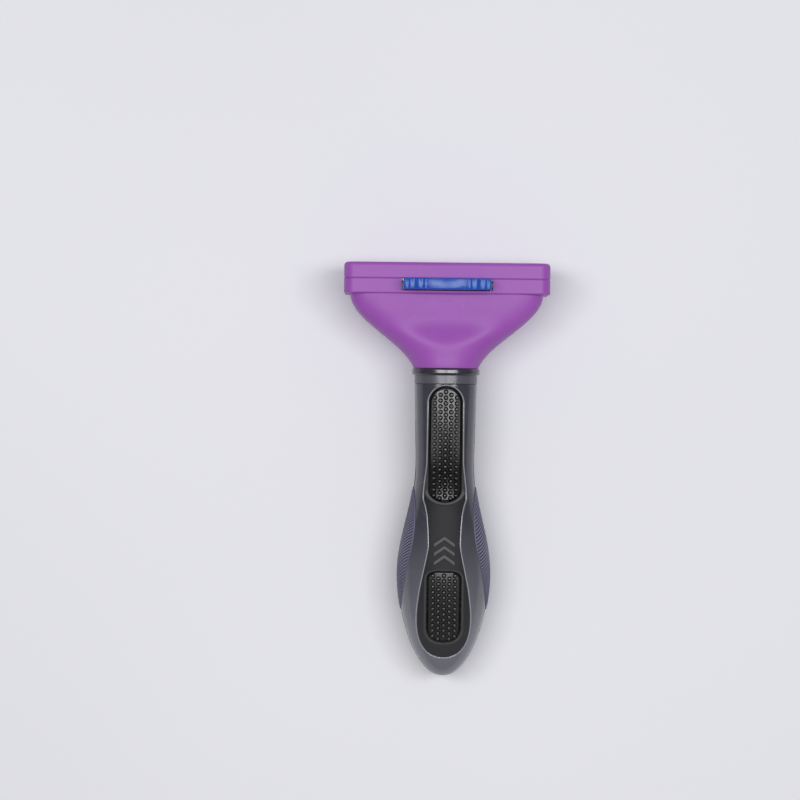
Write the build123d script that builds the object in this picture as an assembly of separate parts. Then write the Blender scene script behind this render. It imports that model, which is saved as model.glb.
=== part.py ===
"""A hand-held deshedding tool with a spring-loaded hair ejector, one STEP file per piece.

The tool lies on its blade tips and its palm swell, thumb side up. +Y runs from the butt to the head,
+X across the blade and +Z up, out of the thumb side. The origin is the centre of the footprint, on the
surface that the tool lies on. All sizes are in millimetres.
"""

import math
import os

from build123d import *

# ---- Blade ---------------------------------------------------------------------------------------
BLADE_WIDTH = 67.3
BLADE_THICKNESS = 1.2
BLADE_DEPTH = 24.0
TOOTH_PITCH = 1.3
TOOTH_LENGTH = 5.0
TOOTH_GAP_ROOT = 0.5
TOOTH_GAP_TIP = 0.85
END_TOOTH_WIDTH = 1.1
TIP_THICKNESS = 0.4
BEVEL_LENGTH = 3.4

# ---- Head: a cover on a flared housing --------------------------------------------------------------
BLADE_REACH = 8.0
HEAD_DEPTH = 23.0
SIDE_WALL = 2.65
BACK_WALL = 2.0
COVER_HEIGHT = 5.7
BAND_HEIGHT = 5.3
FUNNEL_LENGTH = 26.1
FUNNEL_FLARE = 1.11
REAR_CORNER_RADIUS = 4.0
FRONT_CORNER_RADIUS = 2.2
COVER_EDGE_RADIUS = 1.3
SNOUT_DROP = 2.4
SNOUT_RUN = 6.0
SEAM_CHAMFER = 0.3
BAND_EDGE_RADIUS = 0.5
SIDE_OVERHANG = 2.2
FACE_OVERHANG = 1.0
FUNNEL_WALL = 2.3
FUNNEL_HOLLOW_SHARE = 0.6
THUMB_DISH_DEPTH = 3.0
FINGER_DISH_DEPTH = 2.0
DISH_HALF_WIDTH = 25.0
DISH_LENGTH = 19.5
DISH_LEVEL_LENGTH = 8.5
COVER_CORE_WALL = 2.1
COVER_CORE_HALF_WIDTH = 14.0

# ---- Ejector: a wiper plate, its push button, two springs on two rods ----------------------------------
EJECTOR_TRAVEL = 7.0
CHANNEL_DEPTH = 4.35
PLATE_THICKNESS = 0.8
PLATE_LIP = 0.4
PLATE_STRIP_DEPTH = 4.4
PLATE_REAR_HALF_WIDTH = 27.4
BUTTON_WIDTH = 30.6
BUTTON_HEIGHT = 3.9
BUTTON_PROUD = 8.0
BUTTON_SIDE_GAP = 0.75
BUTTON_TAIL = 5.0
BUTTON_SCOOP_HALF_WIDTH = 7.4
BUTTON_SCOOP_DEPTH = 1.3
BUTTON_FLUTE_WIDTH = 2.9
BUTTON_FLUTE_DEPTH = 0.45
ARM_REACH = 26.6
ARM_THICKNESS = 3.4
ROD_RADIUS = 0.7
ROD_OFFSET = 24.2
ROD_DROP = 2.65
ROD_SEAT = 0.9
SPRING_WIRE = 0.4
SPRING_COIL_RADIUS = 1.35
SPRING_TURNS = 9
STAKE_RADIUS = 1.2
STAKE_OFFSET = 9.0

# ---- Screws --------------------------------------------------------------------------------------------
BLADE_SCREW_OFFSET = 19.0
BLADE_SCREW_HEIGHT = 15.2
COVER_SCREW_INSET = 5.8
SCREW_RADIUS = 0.95
SCREW_HEAD_RADIUS = 1.9
SCREW_HEAD_HEIGHT = 1.3
SCREW_HEAD_SINK = 0.5
SCREW_BITE = 8.0
COVER_SCREW_BITE = 5.2
POST_RADIUS = 2.5
POST_GAP = 0.3
RECESS_SIDE = 1.5
RECESS_DEPTH = 0.8

# ---- Handle ---------------------------------------------------------------------------------------------
COLLAR_HEIGHT = 2.6
COLLAR_FLARE = 1.1
COLLAR_EDGE_RADIUS = 0.8
BAND_LENGTH = 3.0
BAND_PROUD = 0.15
BAND_WALL = 1.1
BAND_ROUNDING = 0.12
HANDLE_LENGTH = 107.3
NECK_HALF_WIDTH = 11.0
NECK_HALF_DEPTH = 9.7
NECK_HEIGHT = 19.5
WAIST_HALF_WIDTH = 10.4
WAIST_HALF_DEPTH = 10.0
WAIST_FROM_TOP = 32.0
PALM_HALF_WIDTH = 16.3
PALM_HALF_DEPTH = 14.0
PALM_FROM_TOP = 71.5
BUTT_ROUNDNESS = 1.75
FORM_SEAM_TURN = 46.0
HANDLE_WALL = 2.6
PARTING_GAP = 0.06
SPIGOT_HALF_WIDTH = 7.6
SPIGOT_HALF_DEPTH = 6.6
SPIGOT_LENGTH = 20.0
SPIGOT_CORE_RADIUS = 3.4
HANDLE_SCREWS_FROM_TOP = (6.0, 51.0, 99.5)
HANDLE_BOSS_RADIUS = 3.1
NECK_HEAD_SINK = 1.2
PALM_HEAD_SINK = 4.6

# ---- Soft inlays in the handle ------------------------------------------------------------------------------
INLAY_DEPTH = 1.2
INLAY_PROUD = 0.4
PAD_PROUD = 0.9
GAP = 0.05
PAD_GROOVE = 0.3
SPINE_FROM_TOP = 3.8
SPINE_HALF_WIDTH = 6.05
SPINE_FLARE_HALF_WIDTH = 7.3
SPINE_WAIST_HALF_WIDTH = 5.35
SPINE_BULB_HALF_WIDTH = 9.3
SPINE_TO_BUTT = 7.4
THUMB_PAD_FROM_TOP = 4.4
THUMB_PAD_LENGTH = 40.3
THUMB_PAD_HALF_WIDTH = 5.5
PALM_PAD_FROM_TOP = 69.3
PALM_PAD_LENGTH = 24.8
PALM_PAD_HALF_WIDTH = 5.8
PALM_PAD_CORNER_RADIUS = 3.6
FINGER_GRIP_FROM_TOP = 12.0
FINGER_GRIP_TO_BUTT = 14.5
SIDE_GRIP_DEPTH = 1.0
SIDE_GRIP_PROUD = 0.3
SIDE_GRIP_CENTRE_FROM_TOP = 61.5
SIDE_GRIP_HALF_LENGTH = 22.0
SIDE_GRIP_HALF_HEIGHT = 9.0
EMBLEM_FROM_TOP = 62.0
EMBLEM_HALF_WIDTH = 3.6
EMBLEM_LIMB = 1.3
EMBLEM_STEP = 3.2
EMBLEM_RAISE = 0.35

# ---- Places worked out from the sizes above ----------------------------------------------------------------------
LENGTH = COVER_HEIGHT + BAND_HEIGHT + FUNNEL_LENGTH + COLLAR_HEIGHT + HANDLE_LENGTH
Y_TOP = LENGTH / 2
Y_SEAM = Y_TOP - COVER_HEIGHT
Y_FUNNEL = Y_SEAM - BAND_HEIGHT
Y_COLLAR = Y_FUNNEL - FUNNEL_LENGTH
Y_HANDLE = Y_COLLAR - COLLAR_HEIGHT
HEAD_HALF_WIDTH = BLADE_WIDTH / 2 + 2 * GAP + SIDE_WALL
CHANNEL_HALF_WIDTH = HEAD_HALF_WIDTH - SIDE_WALL
Z_FRONT = BLADE_REACH
Z_BACK = BLADE_REACH + HEAD_DEPTH
Z_CHANNEL_FRONT = Z_FRONT + BACK_WALL
Z_CHANNEL_BACK = Z_BACK - BACK_WALL
Z_HEAD = (Z_FRONT + Z_BACK) / 2
PALM_HEIGHT = PALM_HALF_DEPTH + INLAY_PROUD
PLATE_TOP = GAP
PLATE_BOTTOM = PLATE_TOP + PLATE_THICKNESS
MOUTH_DROP = PLATE_BOTTOM + 2 * GAP
ARM_TOP = MOUTH_DROP + 4 * GAP
BUTTON_TOP = 4 * GAP
BUTTON_BOTTOM = BUTTON_TOP + BUTTON_HEIGHT
Z_ARM_BACK = Z_CHANNEL_BACK - 2 * GAP
Z_ARM_FRONT = Z_ARM_BACK - ARM_THICKNESS
COVER_SCREW_OFFSET = HEAD_HALF_WIDTH - COVER_SCREW_INSET
COVER_SCREW_Z = Z_BACK - COVER_SCREW_INSET + 1.0
TALL = 1.2 * (BLADE_WIDTH + HEAD_DEPTH)


def across(y: float) -> Plane:
    """The plane across the tool at y: its x is +X, its y is +Z, and it is extruded towards the butt."""
    return Plane(origin=(0, y, 0), x_dir=(1, 0, 0), z_dir=(0, -1, 0))


def block(x0: float, x1: float, y0: float, y1: float, z0: float, z1: float) -> Part:
    """A box between two corners."""
    size = Box(x1 - x0, y1 - y0, z1 - z0)
    return Pos((x0 + x1) / 2, (y0 + y1) / 2, (z0 + z1) / 2) * size


def rod_along_y(x: float, z: float, radius: float, y0: float, y1: float) -> Part:
    """A round bar along Y."""
    return Pos(x, (y0 + y1) / 2, z) * Rot(90, 0, 0) * Cylinder(radius, y1 - y0)


def rod_along_z(x: float, y: float, radius: float, z0: float, z1: float) -> Part:
    """A round bar along Z."""
    return Pos(x, y, (z0 + z1) / 2) * Cylinder(radius, z1 - z0)


def both_sides(shape: Part) -> Part:
    """A shape with its mirror image across the tool's middle plane."""
    return shape + mirror(shape, about=Plane.YZ)


def ramp(share: float) -> float:
    """0 before 0, 1 after 1 and a half cosine wave between."""
    share = min(max(share, 0.0), 1.0)
    return 0.5 - 0.5 * math.cos(math.pi * share)


def even_points(points: list, count: int) -> list:
    """Points at equal steps along a closed line."""
    along = [0.0]
    for a, b in zip(points, points[1:] + points[:1]):
        along.append(along[-1] + math.dist(a, b))
    picked, k = [], 0
    for i in range(count):
        want = along[-1] * i / count
        while along[k + 1] <= want:
            k += 1
        share = (want - along[k]) / (along[k + 1] - along[k])
        a, b = points[k], points[(k + 1) % len(points)]
        picked.append(tuple(p + (q - p) * share for p, q in zip(a, b)))
    return picked


def closed_face(points: list) -> Face:
    """The flat face inside a smooth closed curve through points."""
    return Face(Wire(Spline(*points, periodic=True)))


def save(shape: Part, name: str) -> None:
    """Writes one node's STEP file."""
    export_step(Compound(children=list(shape.solids())), f"parts/{name}.step")


# ---- Screws ----------------------------------------------------------------------------------------------------------
def screw_along_y(x: float, z: float, y_head: float, y_tip: float) -> Part:
    """A pan-head screw with a square recess, its head on the +Y side."""
    shank = rod_along_y(x, z, SCREW_RADIUS, y_tip, y_head - SCREW_HEAD_HEIGHT)
    head = rod_along_y(x, z, SCREW_HEAD_RADIUS, y_head - SCREW_HEAD_HEIGHT, y_head)
    head = fillet(head.edges().sort_by(Axis.Y)[-1], SCREW_HEAD_HEIGHT / 3)
    half = RECESS_SIDE / 2
    recess = block(x - half, x + half, y_head - RECESS_DEPTH, y_head + 1, z - half, z + half)
    return shank + head - recess


def screw_along_z(y: float, z_head: float, z_tip: float) -> Part:
    """The same screw on the tool's middle plane, its head on the -Z side."""
    turned = screw_along_y(0, 0, 0, -(z_tip - z_head))
    return Pos(0, y, z_head) * Rot(-90, 0, 0) * turned


# ---- Head --------------------------------------------------------------------------------------------------------------
def head_outline() -> Sketch:
    """The head seen along the handle, with tighter corners on the blade side."""
    outline = Pos(0, Z_HEAD) * Rectangle(2 * HEAD_HALF_WIDTH, HEAD_DEPTH)
    rear = outline.vertices().group_by(Axis.Y)[-1]
    outline = fillet(rear, REAR_CORNER_RADIUS)
    front = outline.vertices().group_by(Axis.Y)[0]
    return fillet(front, FRONT_CORNER_RADIUS)


def blade() -> Part:
    """The steel comb: a plate with a row of tapered gaps, bevelled to thin tips on its cover side."""
    half = BLADE_WIDTH / 2
    comb = block(-half, half, Y_SEAM, Y_SEAM + BLADE_THICKNESS, 0, BLADE_DEPTH)
    gaps = 1 + round((BLADE_WIDTH - 2 * END_TOOTH_WIDTH - TOOTH_GAP_TIP) / TOOTH_PITCH)
    pitch = (BLADE_WIDTH - 2 * END_TOOTH_WIDTH - TOOTH_GAP_TIP) / (gaps - 1)
    root = TOOTH_GAP_ROOT / 2
    tip = TOOTH_GAP_TIP / 2
    side = Line((root, TOOTH_LENGTH - root), (tip, -1))
    crown = ThreePointArc((root, TOOTH_LENGTH - root), (0, TOOTH_LENGTH), (-root, TOOTH_LENGTH - root))
    mouth = Line((tip, -1), (-tip, -1))
    other_side = Line((-tip, -1), (-root, TOOTH_LENGTH - root))
    gap = make_face([side, crown, other_side, mouth])
    starts = [-(gaps - 1) * pitch / 2 + i * pitch for i in range(gaps)]
    plane = across(Y_SEAM + BLADE_THICKNESS + 1)
    comb -= [extrude(plane * Pos(x, 0) * gap, BLADE_THICKNESS + 2) for x in starts]
    slope = Polyline((TIP_THICKNESS, -1), (TIP_THICKNESS, 0), (BLADE_THICKNESS, BEVEL_LENGTH), (9, BEVEL_LENGTH),
                     (9, -1), close=True)
    end_plane = Plane(origin=(-half - 1, Y_SEAM, 0), x_dir=(0, 1, 0), z_dir=(1, 0, 0))
    comb -= extrude(end_plane * make_face(slope), BLADE_WIDTH + 2)
    comb -= both_sides(rod_along_y(BLADE_SCREW_OFFSET, BLADE_SCREW_HEIGHT, SCREW_RADIUS + 0.25, Y_SEAM - 1,
                                   Y_SEAM + BLADE_THICKNESS + 1))
    return comb


def head_screw_places() -> list:
    """(x, z, length of thread in the housing) of each of the four screws in the head's top."""
    near = [(s * BLADE_SCREW_OFFSET, BLADE_SCREW_HEIGHT, SCREW_BITE) for s in (-1, 1)]
    far = [(s * COVER_SCREW_OFFSET, COVER_SCREW_Z, COVER_SCREW_BITE) for s in (-1, 1)]
    return near + far


def head_cover() -> Part:
    """The cap over the blade, sloping down to a thin lip on the blade side."""
    cap = extrude(across(Y_TOP) * head_outline(), COVER_HEIGHT)
    wedge = Polyline((Y_TOP + 1, Z_FRONT - 1), (Y_TOP + 1, Z_FRONT + SNOUT_RUN), (Y_TOP, Z_FRONT + SNOUT_RUN),
                     (Y_TOP - SNOUT_DROP, Z_FRONT), (Y_TOP - SNOUT_DROP, Z_FRONT - 1), close=True)
    side_plane = Plane(origin=(-TALL / 2, 0, 0), x_dir=(0, 1, 0), z_dir=(1, 0, 0))
    cap -= extrude(side_plane * make_face(wedge), TALL)
    upper = [e for e in cap.edges() if e.bounding_box().min.Y > Y_TOP - SNOUT_DROP - 0.01]
    cap = fillet(upper, COVER_EDGE_RADIUS)
    cap = chamfer(cap.faces().sort_by(Axis.Y)[0].edges(), SEAM_CHAMFER)
    pocket_top = Y_SEAM + BLADE_THICKNESS + GAP
    cap -= block(-CHANNEL_HALF_WIDTH, CHANNEL_HALF_WIDTH, Y_SEAM - 1, pocket_top, Z_FRONT - 1, BLADE_DEPTH + GAP)
    core = block(-COVER_CORE_HALF_WIDTH, COVER_CORE_HALF_WIDTH, Y_SEAM - 1, Y_TOP - COVER_CORE_WALL,
                 Z_FRONT + SNOUT_RUN, Z_CHANNEL_BACK - 3)
    cap -= core
    for x, z, _ in head_screw_places():
        cap -= rod_along_y(x, z, SCREW_RADIUS + 0.15, Y_SEAM - 1, Y_TOP + 1)
        seat = Y_TOP - SCREW_HEAD_SINK - SCREW_HEAD_HEIGHT
        cap -= rod_along_y(x, z, SCREW_HEAD_RADIUS + 0.15, seat, Y_TOP + 1)
    return cap


def head_screws() -> Compound:
    """Two screws that clamp cover and blade, and two that hold the cover's rear corners."""
    y_head = Y_TOP - SCREW_HEAD_SINK
    made = [screw_along_y(x, z, y_head, Y_SEAM - bite) for x, z, bite in head_screw_places()]
    return Compound(children=made)


def funnel_ring(drop: float, shrink: float = 0.0) -> Face:
    """The funnel's section drop below the band: a rounded box that turns into the neck's oval, with a dish in
    the thumb face and a shallower one in the finger face."""
    share = drop / FUNNEL_LENGTH
    blend = ramp(share / FUNNEL_FLARE)
    half_width = HEAD_HALF_WIDTH - SIDE_OVERHANG
    half_width += (NECK_HALF_WIDTH - half_width) * blend - shrink
    half_depth = HEAD_DEPTH / 2 - FACE_OVERHANG
    half_depth += (NECK_HALF_DEPTH - half_depth) * blend - shrink
    centre = Z_HEAD + (NECK_HEIGHT - Z_HEAD) * blend
    power = 5.0 - 3.0 * ramp(share * 1.1)
    dish = 1 - ramp((drop - DISH_LEVEL_LENGTH) / (DISH_LENGTH - DISH_LEVEL_LENGTH))
    reach = min(DISH_HALF_WIDTH, 0.92 * half_width)
    dense = []
    for i in range(720):
        turn = 2 * math.pi * i / 720
        c, s = math.cos(turn), math.sin(turn)
        radius = (abs(c / half_width) ** power + abs(s / half_depth) ** power) ** (-1 / power)
        hollow = THUMB_DISH_DEPTH if s > 0 else -FINGER_DISH_DEPTH
        sink = hollow * dish * (1 - ramp(abs(radius * c) / reach))
        dense.append((radius * c, centre + radius * s - sink))
    return closed_face([(x, Y_FUNNEL - drop, z) for x, z in even_points(dense, 48)])


def funnel_body(shrink: float, start: float, end: float) -> Part:
    """The flared body between two drops below the band."""
    steps = 9
    return loft([funnel_ring(start + (end - start) * i / steps, shrink) for i in range(steps + 1)])


def oval(y0: float, length: float, half_width: float, half_depth: float) -> Part:
    """An oval bar along the handle, from y0 towards the butt."""
    return extrude(across(y0) * Pos(0, NECK_HEIGHT) * Ellipse(half_width, half_depth), length)


def head_housing() -> Part:
    """The band, the flared funnel and the spigot that goes into the handle, hollow for the ejector."""
    band = extrude(across(Y_SEAM) * head_outline(), BAND_HEIGHT)
    band = chamfer(band.faces().sort_by(Axis.Y)[-1].edges(), SEAM_CHAMFER)
    band = fillet(band.faces().sort_by(Axis.Y)[0].edges(), BAND_EDGE_RADIUS)
    outer = band + funnel_body(0, 0, FUNNEL_LENGTH)
    hollow = funnel_body(FUNNEL_WALL, 0, FUNNEL_LENGTH * FUNNEL_HOLLOW_SHARE)
    channel = block(-CHANNEL_HALF_WIDTH, CHANNEL_HALF_WIDTH, Y_SEAM - CHANNEL_DEPTH, Y_SEAM + 1,
                    Z_CHANNEL_FRONT, Z_CHANNEL_BACK)
    link = extrude(Plane(funnel_ring(0, FUNNEL_WALL).center(), x_dir=(1, 0, 0), z_dir=(0, 1, 0))
                   * Rectangle(2 * (CHANNEL_HALF_WIDTH - 3), Z_CHANNEL_BACK - Z_CHANNEL_FRONT - 6),
                   BAND_HEIGHT - CHANNEL_DEPTH + 1)
    posts = None
    for x, z, _ in head_screw_places():
        post = rod_along_y(x, z, POST_RADIUS, Y_FUNNEL - FUNNEL_LENGTH * FUNNEL_HOLLOW_SHARE - 1, Y_SEAM)
        posts = post if posts is None else posts + post
    shell = outer - hollow - channel - link
    shell += posts & outer
    shell -= block(-CHANNEL_HALF_WIDTH, CHANNEL_HALF_WIDTH, Y_SEAM - MOUTH_DROP, Y_SEAM + 1, Z_FRONT - 1,
                   Z_CHANNEL_FRONT + GAP)
    slot = BUTTON_WIDTH / 2 + BUTTON_SIDE_GAP
    shell -= block(-slot, slot, Y_SEAM - CHANNEL_DEPTH, Y_SEAM + 1, Z_CHANNEL_BACK - GAP, Z_BACK + 1)
    for x, z, bite in head_screw_places():
        shell -= rod_along_y(x, z, SCREW_RADIUS + GAP, Y_SEAM - bite - 0.6, Y_SEAM + 1)
    rod_y = Y_SEAM - ROD_DROP
    hole = ROD_RADIUS + GAP
    seat = rod_along_z(ROD_OFFSET, rod_y, hole, Z_CHANNEL_FRONT - ROD_SEAT, Z_CHANNEL_BACK + ROD_SEAT)
    seat += block(ROD_OFFSET - hole, ROD_OFFSET + hole, rod_y, Y_SEAM + 1, Z_CHANNEL_FRONT - ROD_SEAT,
                  Z_CHANNEL_BACK + ROD_SEAT)
    shell -= both_sides(seat)
    spigot = oval(Y_COLLAR + 0.5, COLLAR_HEIGHT + SPIGOT_LENGTH + 0.5, SPIGOT_HALF_WIDTH, SPIGOT_HALF_DEPTH)
    core = rod_along_y(0, NECK_HEIGHT, SPIGOT_CORE_RADIUS, Y_HANDLE - SPIGOT_LENGTH - 1,
                       Y_HANDLE - HANDLE_SCREWS_FROM_TOP[0] - HANDLE_BOSS_RADIUS)
    cross_hole = rod_along_z(0, Y_HANDLE - HANDLE_SCREWS_FROM_TOP[0], SCREW_RADIUS + 0.15, 0, TALL)
    return shell + (spigot - core - cross_hole)


# ---- Ejector -------------------------------------------------------------------------------------------------------------
def ejector_plate() -> Part:
    """The thin steel wiper under the blade: a full-width front strip on a narrower slide with two slots."""
    strip_half = BLADE_WIDTH / 2 - 0.3
    z_edge = Z_FRONT - PLATE_LIP
    y0, y1 = Y_SEAM - PLATE_BOTTOM, Y_SEAM - PLATE_TOP
    plate = block(-strip_half, strip_half, y0, y1, z_edge, z_edge + PLATE_STRIP_DEPTH)
    plate += block(-PLATE_REAR_HALF_WIDTH, PLATE_REAR_HALF_WIDTH, y0, y1, z_edge, Z_ARM_BACK - 2 * GAP)
    plate = fillet(plate.edges().filter_by(Axis.Y), 0.8)
    slot_half = POST_RADIUS + POST_GAP
    slot = SlotCenterToCenter(EJECTOR_TRAVEL, 2 * slot_half)
    centre = BLADE_SCREW_HEIGHT + EJECTOR_TRAVEL / 2
    cut = extrude(across(y1 + 1) * Pos(BLADE_SCREW_OFFSET, centre) * Rot(0, 0, 90) * slot, PLATE_THICKNESS + 2)
    cut += rod_along_y(STAKE_OFFSET, Z_ARM_BACK - BUTTON_TAIL / 2, STAKE_RADIUS + GAP, y0 - 1, y1 + 1)
    return plate - both_sides(cut)


def button_outline() -> Face:
    """The push button seen along the handle: a thumb scoop between two flutes on each side."""
    half = BUTTON_WIDTH / 2
    z_out = Z_BACK + BUTTON_PROUD
    z_in = Z_ARM_BACK - BUTTON_TAIL
    scoop = BUTTON_SCOOP_HALF_WIDTH
    flutes = [scoop + 0.5, scoop + 0.5 + BUTTON_FLUTE_WIDTH, scoop + 0.5 + 2 * BUTTON_FLUTE_WIDTH]
    edges = [ThreePointArc((-scoop, z_out), (0, z_out - BUTTON_SCOOP_DEPTH), (scoop, z_out))]
    for side in (-1, 1):
        edges.append(Line((side * scoop, z_out), (side * flutes[0], z_out)))
        for a, b in zip(flutes, flutes[1:]):
            middle = (side * (a + b) / 2, z_out - BUTTON_FLUTE_DEPTH)
            edges.append(ThreePointArc((side * a, z_out), middle, (side * b, z_out)))
        edges.append(Line((side * flutes[-1], z_out), (side * (half - 0.8), z_out)))
        edges.append(ThreePointArc((side * (half - 0.8), z_out), (side * (half - 0.25), z_out - 0.25),
                                   (side * half, z_out - 0.8)))
        edges.append(Line((side * half, z_out - 0.8), (side * half, z_in)))
    edges.append(Line((-half, z_in), (half, z_in)))
    return make_face(edges)


def ejector_button() -> Part:
    """The push button with the arms that the springs bear on and the stakes that carry the plate."""
    body = extrude(across(Y_SEAM - BUTTON_TOP) * button_outline(), BUTTON_HEIGHT)
    body -= block(-BUTTON_WIDTH, BUTTON_WIDTH, Y_SEAM - PLATE_BOTTOM - GAP, Y_SEAM + 1, 0, Z_ARM_BACK)
    arms = block(-ARM_REACH, ARM_REACH, Y_SEAM - BUTTON_BOTTOM, Y_SEAM - ARM_TOP, Z_ARM_FRONT, Z_ARM_BACK)
    body += arms
    body -= both_sides(rod_along_z(ROD_OFFSET, Y_SEAM - ROD_DROP, ROD_RADIUS + 2 * GAP, 0, TALL))
    stake = rod_along_y(STAKE_OFFSET, Z_ARM_BACK - BUTTON_TAIL / 2, STAKE_RADIUS, Y_SEAM - PLATE_BOTTOM - 1,
                        Y_SEAM - PLATE_TOP - GAP)
    return body + both_sides(stake)


def guide_rod(side: int) -> Part:
    """One of the steel rods that the springs and the button's arms run on."""
    return rod_along_z(side * ROD_OFFSET, Y_SEAM - ROD_DROP, ROD_RADIUS, Z_CHANNEL_FRONT - ROD_SEAT + GAP,
                       Z_CHANNEL_BACK + ROD_SEAT - GAP)


def return_spring(side: int) -> Part:
    """The coil between the housing's front wall and one arm of the button."""
    low = Z_CHANNEL_FRONT + SPRING_WIRE / 2 + GAP
    high = Z_ARM_FRONT - SPRING_WIRE / 2 - GAP
    coil = Helix((high - low) / SPRING_TURNS, high - low, SPRING_COIL_RADIUS)
    wire = sweep(Plane(coil @ 0, z_dir=coil % 0) * Circle(SPRING_WIRE / 2), path=coil)
    return Pos(side * ROD_OFFSET, Y_SEAM - ROD_DROP, low) * wire


# ---- Handle --------------------------------------------------------------------------------------------------------------
def butt_share(s: float, grow: float) -> float:
    """How much of the palm's size is left s from the handle's top: 1 as far as the palm, then an egg's end."""
    share = (s - PALM_FROM_TOP) / (HANDLE_LENGTH + grow - PALM_FROM_TOP)
    if share <= 0:
        return 1.0
    return math.sqrt(max(0.0, 1 - share**BUTT_ROUNDNESS))


def handle_centre(s: float) -> float:
    """The height of the handle's middle line, which sweeps down from the neck to the palm."""
    return NECK_HEIGHT + (PALM_HEIGHT - NECK_HEIGHT) * ramp((s - 8.0) / (PALM_FROM_TOP - 8.0))


def handle_half(s: float, neck: float, waist: float, palm: float) -> float:
    """A half size along the handle: neck to waist, then waist to palm."""
    if s <= WAIST_FROM_TOP:
        return neck + (waist - neck) * ramp(s / WAIST_FROM_TOP)
    return waist + (palm - waist) * ramp((s - WAIST_FROM_TOP) / (PALM_FROM_TOP - WAIST_FROM_TOP))


def handle_ring(s: float, grow: float) -> Face:
    """The handle's oval section s from its top, grown all round. It starts between the spine and a side grip,
    so that the form's seam stays clear of the parting surface and the inlays' tips."""
    end = butt_share(s, grow)
    half_width = (handle_half(s, NECK_HALF_WIDTH, WAIST_HALF_WIDTH, PALM_HALF_WIDTH) + grow) * end
    half_depth = (handle_half(s, NECK_HALF_DEPTH, WAIST_HALF_DEPTH, PALM_HALF_DEPTH) + grow) * end
    points = []
    for i in range(24):
        turn = math.radians(FORM_SEAM_TURN) + 2 * math.pi * i / 24
        points.append((half_width * math.cos(turn), Y_HANDLE - s, handle_centre(s) + half_depth * math.sin(turn)))
    return closed_face(points)


def handle_body(grow: float, start: float = 0.0) -> Part:
    """The handle's outer form, grown or shrunk, from start to the butt."""
    upper = [start + (PALM_FROM_TOP - start) * i / 9 for i in range(10)]
    tail = HANDLE_LENGTH + grow - PALM_FROM_TOP
    lower = [PALM_FROM_TOP + tail * share for share in (0.2, 0.38, 0.54, 0.68, 0.79, 0.88, 0.945, 0.985)]
    return loft([handle_ring(s, grow) for s in upper + lower])


def above_parting(gap: float) -> Part:
    """Everything on the thumb side of the surface between the shells, raised by gap."""
    stations = [HANDLE_LENGTH * i / 10 for i in range(-1, 13)]
    line = Spline(*[(Y_HANDLE - s, handle_centre(s) + gap) for s in stations])
    first, last = line @ 0, line @ 1
    rest = Polyline((last.X, last.Y), (last.X, TALL), (first.X, TALL), (first.X, first.Y))
    plane = Plane(origin=(-TALL / 2, 0, 0), x_dir=(0, 1, 0), z_dir=(1, 0, 0))
    return extrude(plane * make_face([line, *rest.edges()]), TALL)


def spine_outline(grow: float) -> Face:
    """The thumb-side inlay from above: a round-ended strip that flares, narrows and swells over the palm."""
    top = SPINE_FROM_TOP - grow
    end = HANDLE_LENGTH - SPINE_TO_BUTT + grow
    pad_end = THUMB_PAD_FROM_TOP + THUMB_PAD_LENGTH
    bulb = PALM_FROM_TOP + 14.0
    right = [
        (SPINE_HALF_WIDTH * 0.72, top + 1.8), (SPINE_HALF_WIDTH, top + 7.0), (SPINE_HALF_WIDTH, pad_end - 17.0),
        (SPINE_FLARE_HALF_WIDTH, pad_end - 2.5), (SPINE_WAIST_HALF_WIDTH + 0.4, pad_end + 6.0),
        (SPINE_WAIST_HALF_WIDTH, pad_end + 13.5), (SPINE_BULB_HALF_WIDTH * 0.8, bulb - 14.5),
        (SPINE_BULB_HALF_WIDTH, bulb), (SPINE_BULB_HALF_WIDTH * 0.74, end - 3.6),
    ]
    outline = [(0.0, top), *[(x + grow, s) for x, s in right], (0.0, end)]
    outline += [(-x, s) for x, s in outline[-2:0:-1]]
    return closed_face([(x, Y_HANDLE - s, 0) for x, s in outline])


def thumb_pad_outline(grow: float) -> Sketch:
    """The upper studded pad from above, a slot with round ends."""
    half = THUMB_PAD_HALF_WIDTH + grow
    centre = Y_HANDLE - THUMB_PAD_FROM_TOP - THUMB_PAD_LENGTH / 2
    return Pos(0, centre) * Rot(0, 0, 90) * SlotOverall(THUMB_PAD_LENGTH + 2 * grow, 2 * half)


def palm_pad_outline(grow: float) -> Sketch:
    """The lower studded pad from above, a rectangle with large corners."""
    centre = Y_HANDLE - PALM_PAD_FROM_TOP - PALM_PAD_LENGTH / 2
    width, length = 2 * (PALM_PAD_HALF_WIDTH + grow), PALM_PAD_LENGTH + 2 * grow
    return Pos(0, centre) * RectangleRounded(width, length, PALM_PAD_CORNER_RADIUS + grow)


def finger_grip_outline(grow: float) -> Face:
    """The finger-side inlay from below: narrow at the neck and wide over the palm."""
    top = FINGER_GRIP_FROM_TOP - grow
    end = HANDLE_LENGTH - FINGER_GRIP_TO_BUTT + grow
    narrow, wide = SPINE_HALF_WIDTH - 0.7, SPINE_BULB_HALF_WIDTH + 0.4
    right = [(narrow * 0.75, top + 1.7), (narrow, top + 7.0), (narrow, WAIST_FROM_TOP + 4.0),
             (wide, PALM_FROM_TOP), (wide * 0.7, end - 4.0)]
    outline = [(0.0, top), *[(x + grow, s) for x, s in right], (0.0, end)]
    outline += [(-x, s) for x, s in outline[-2:0:-1]]
    return closed_face([(x, Y_HANDLE - s, 0) for x, s in outline])


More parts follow.
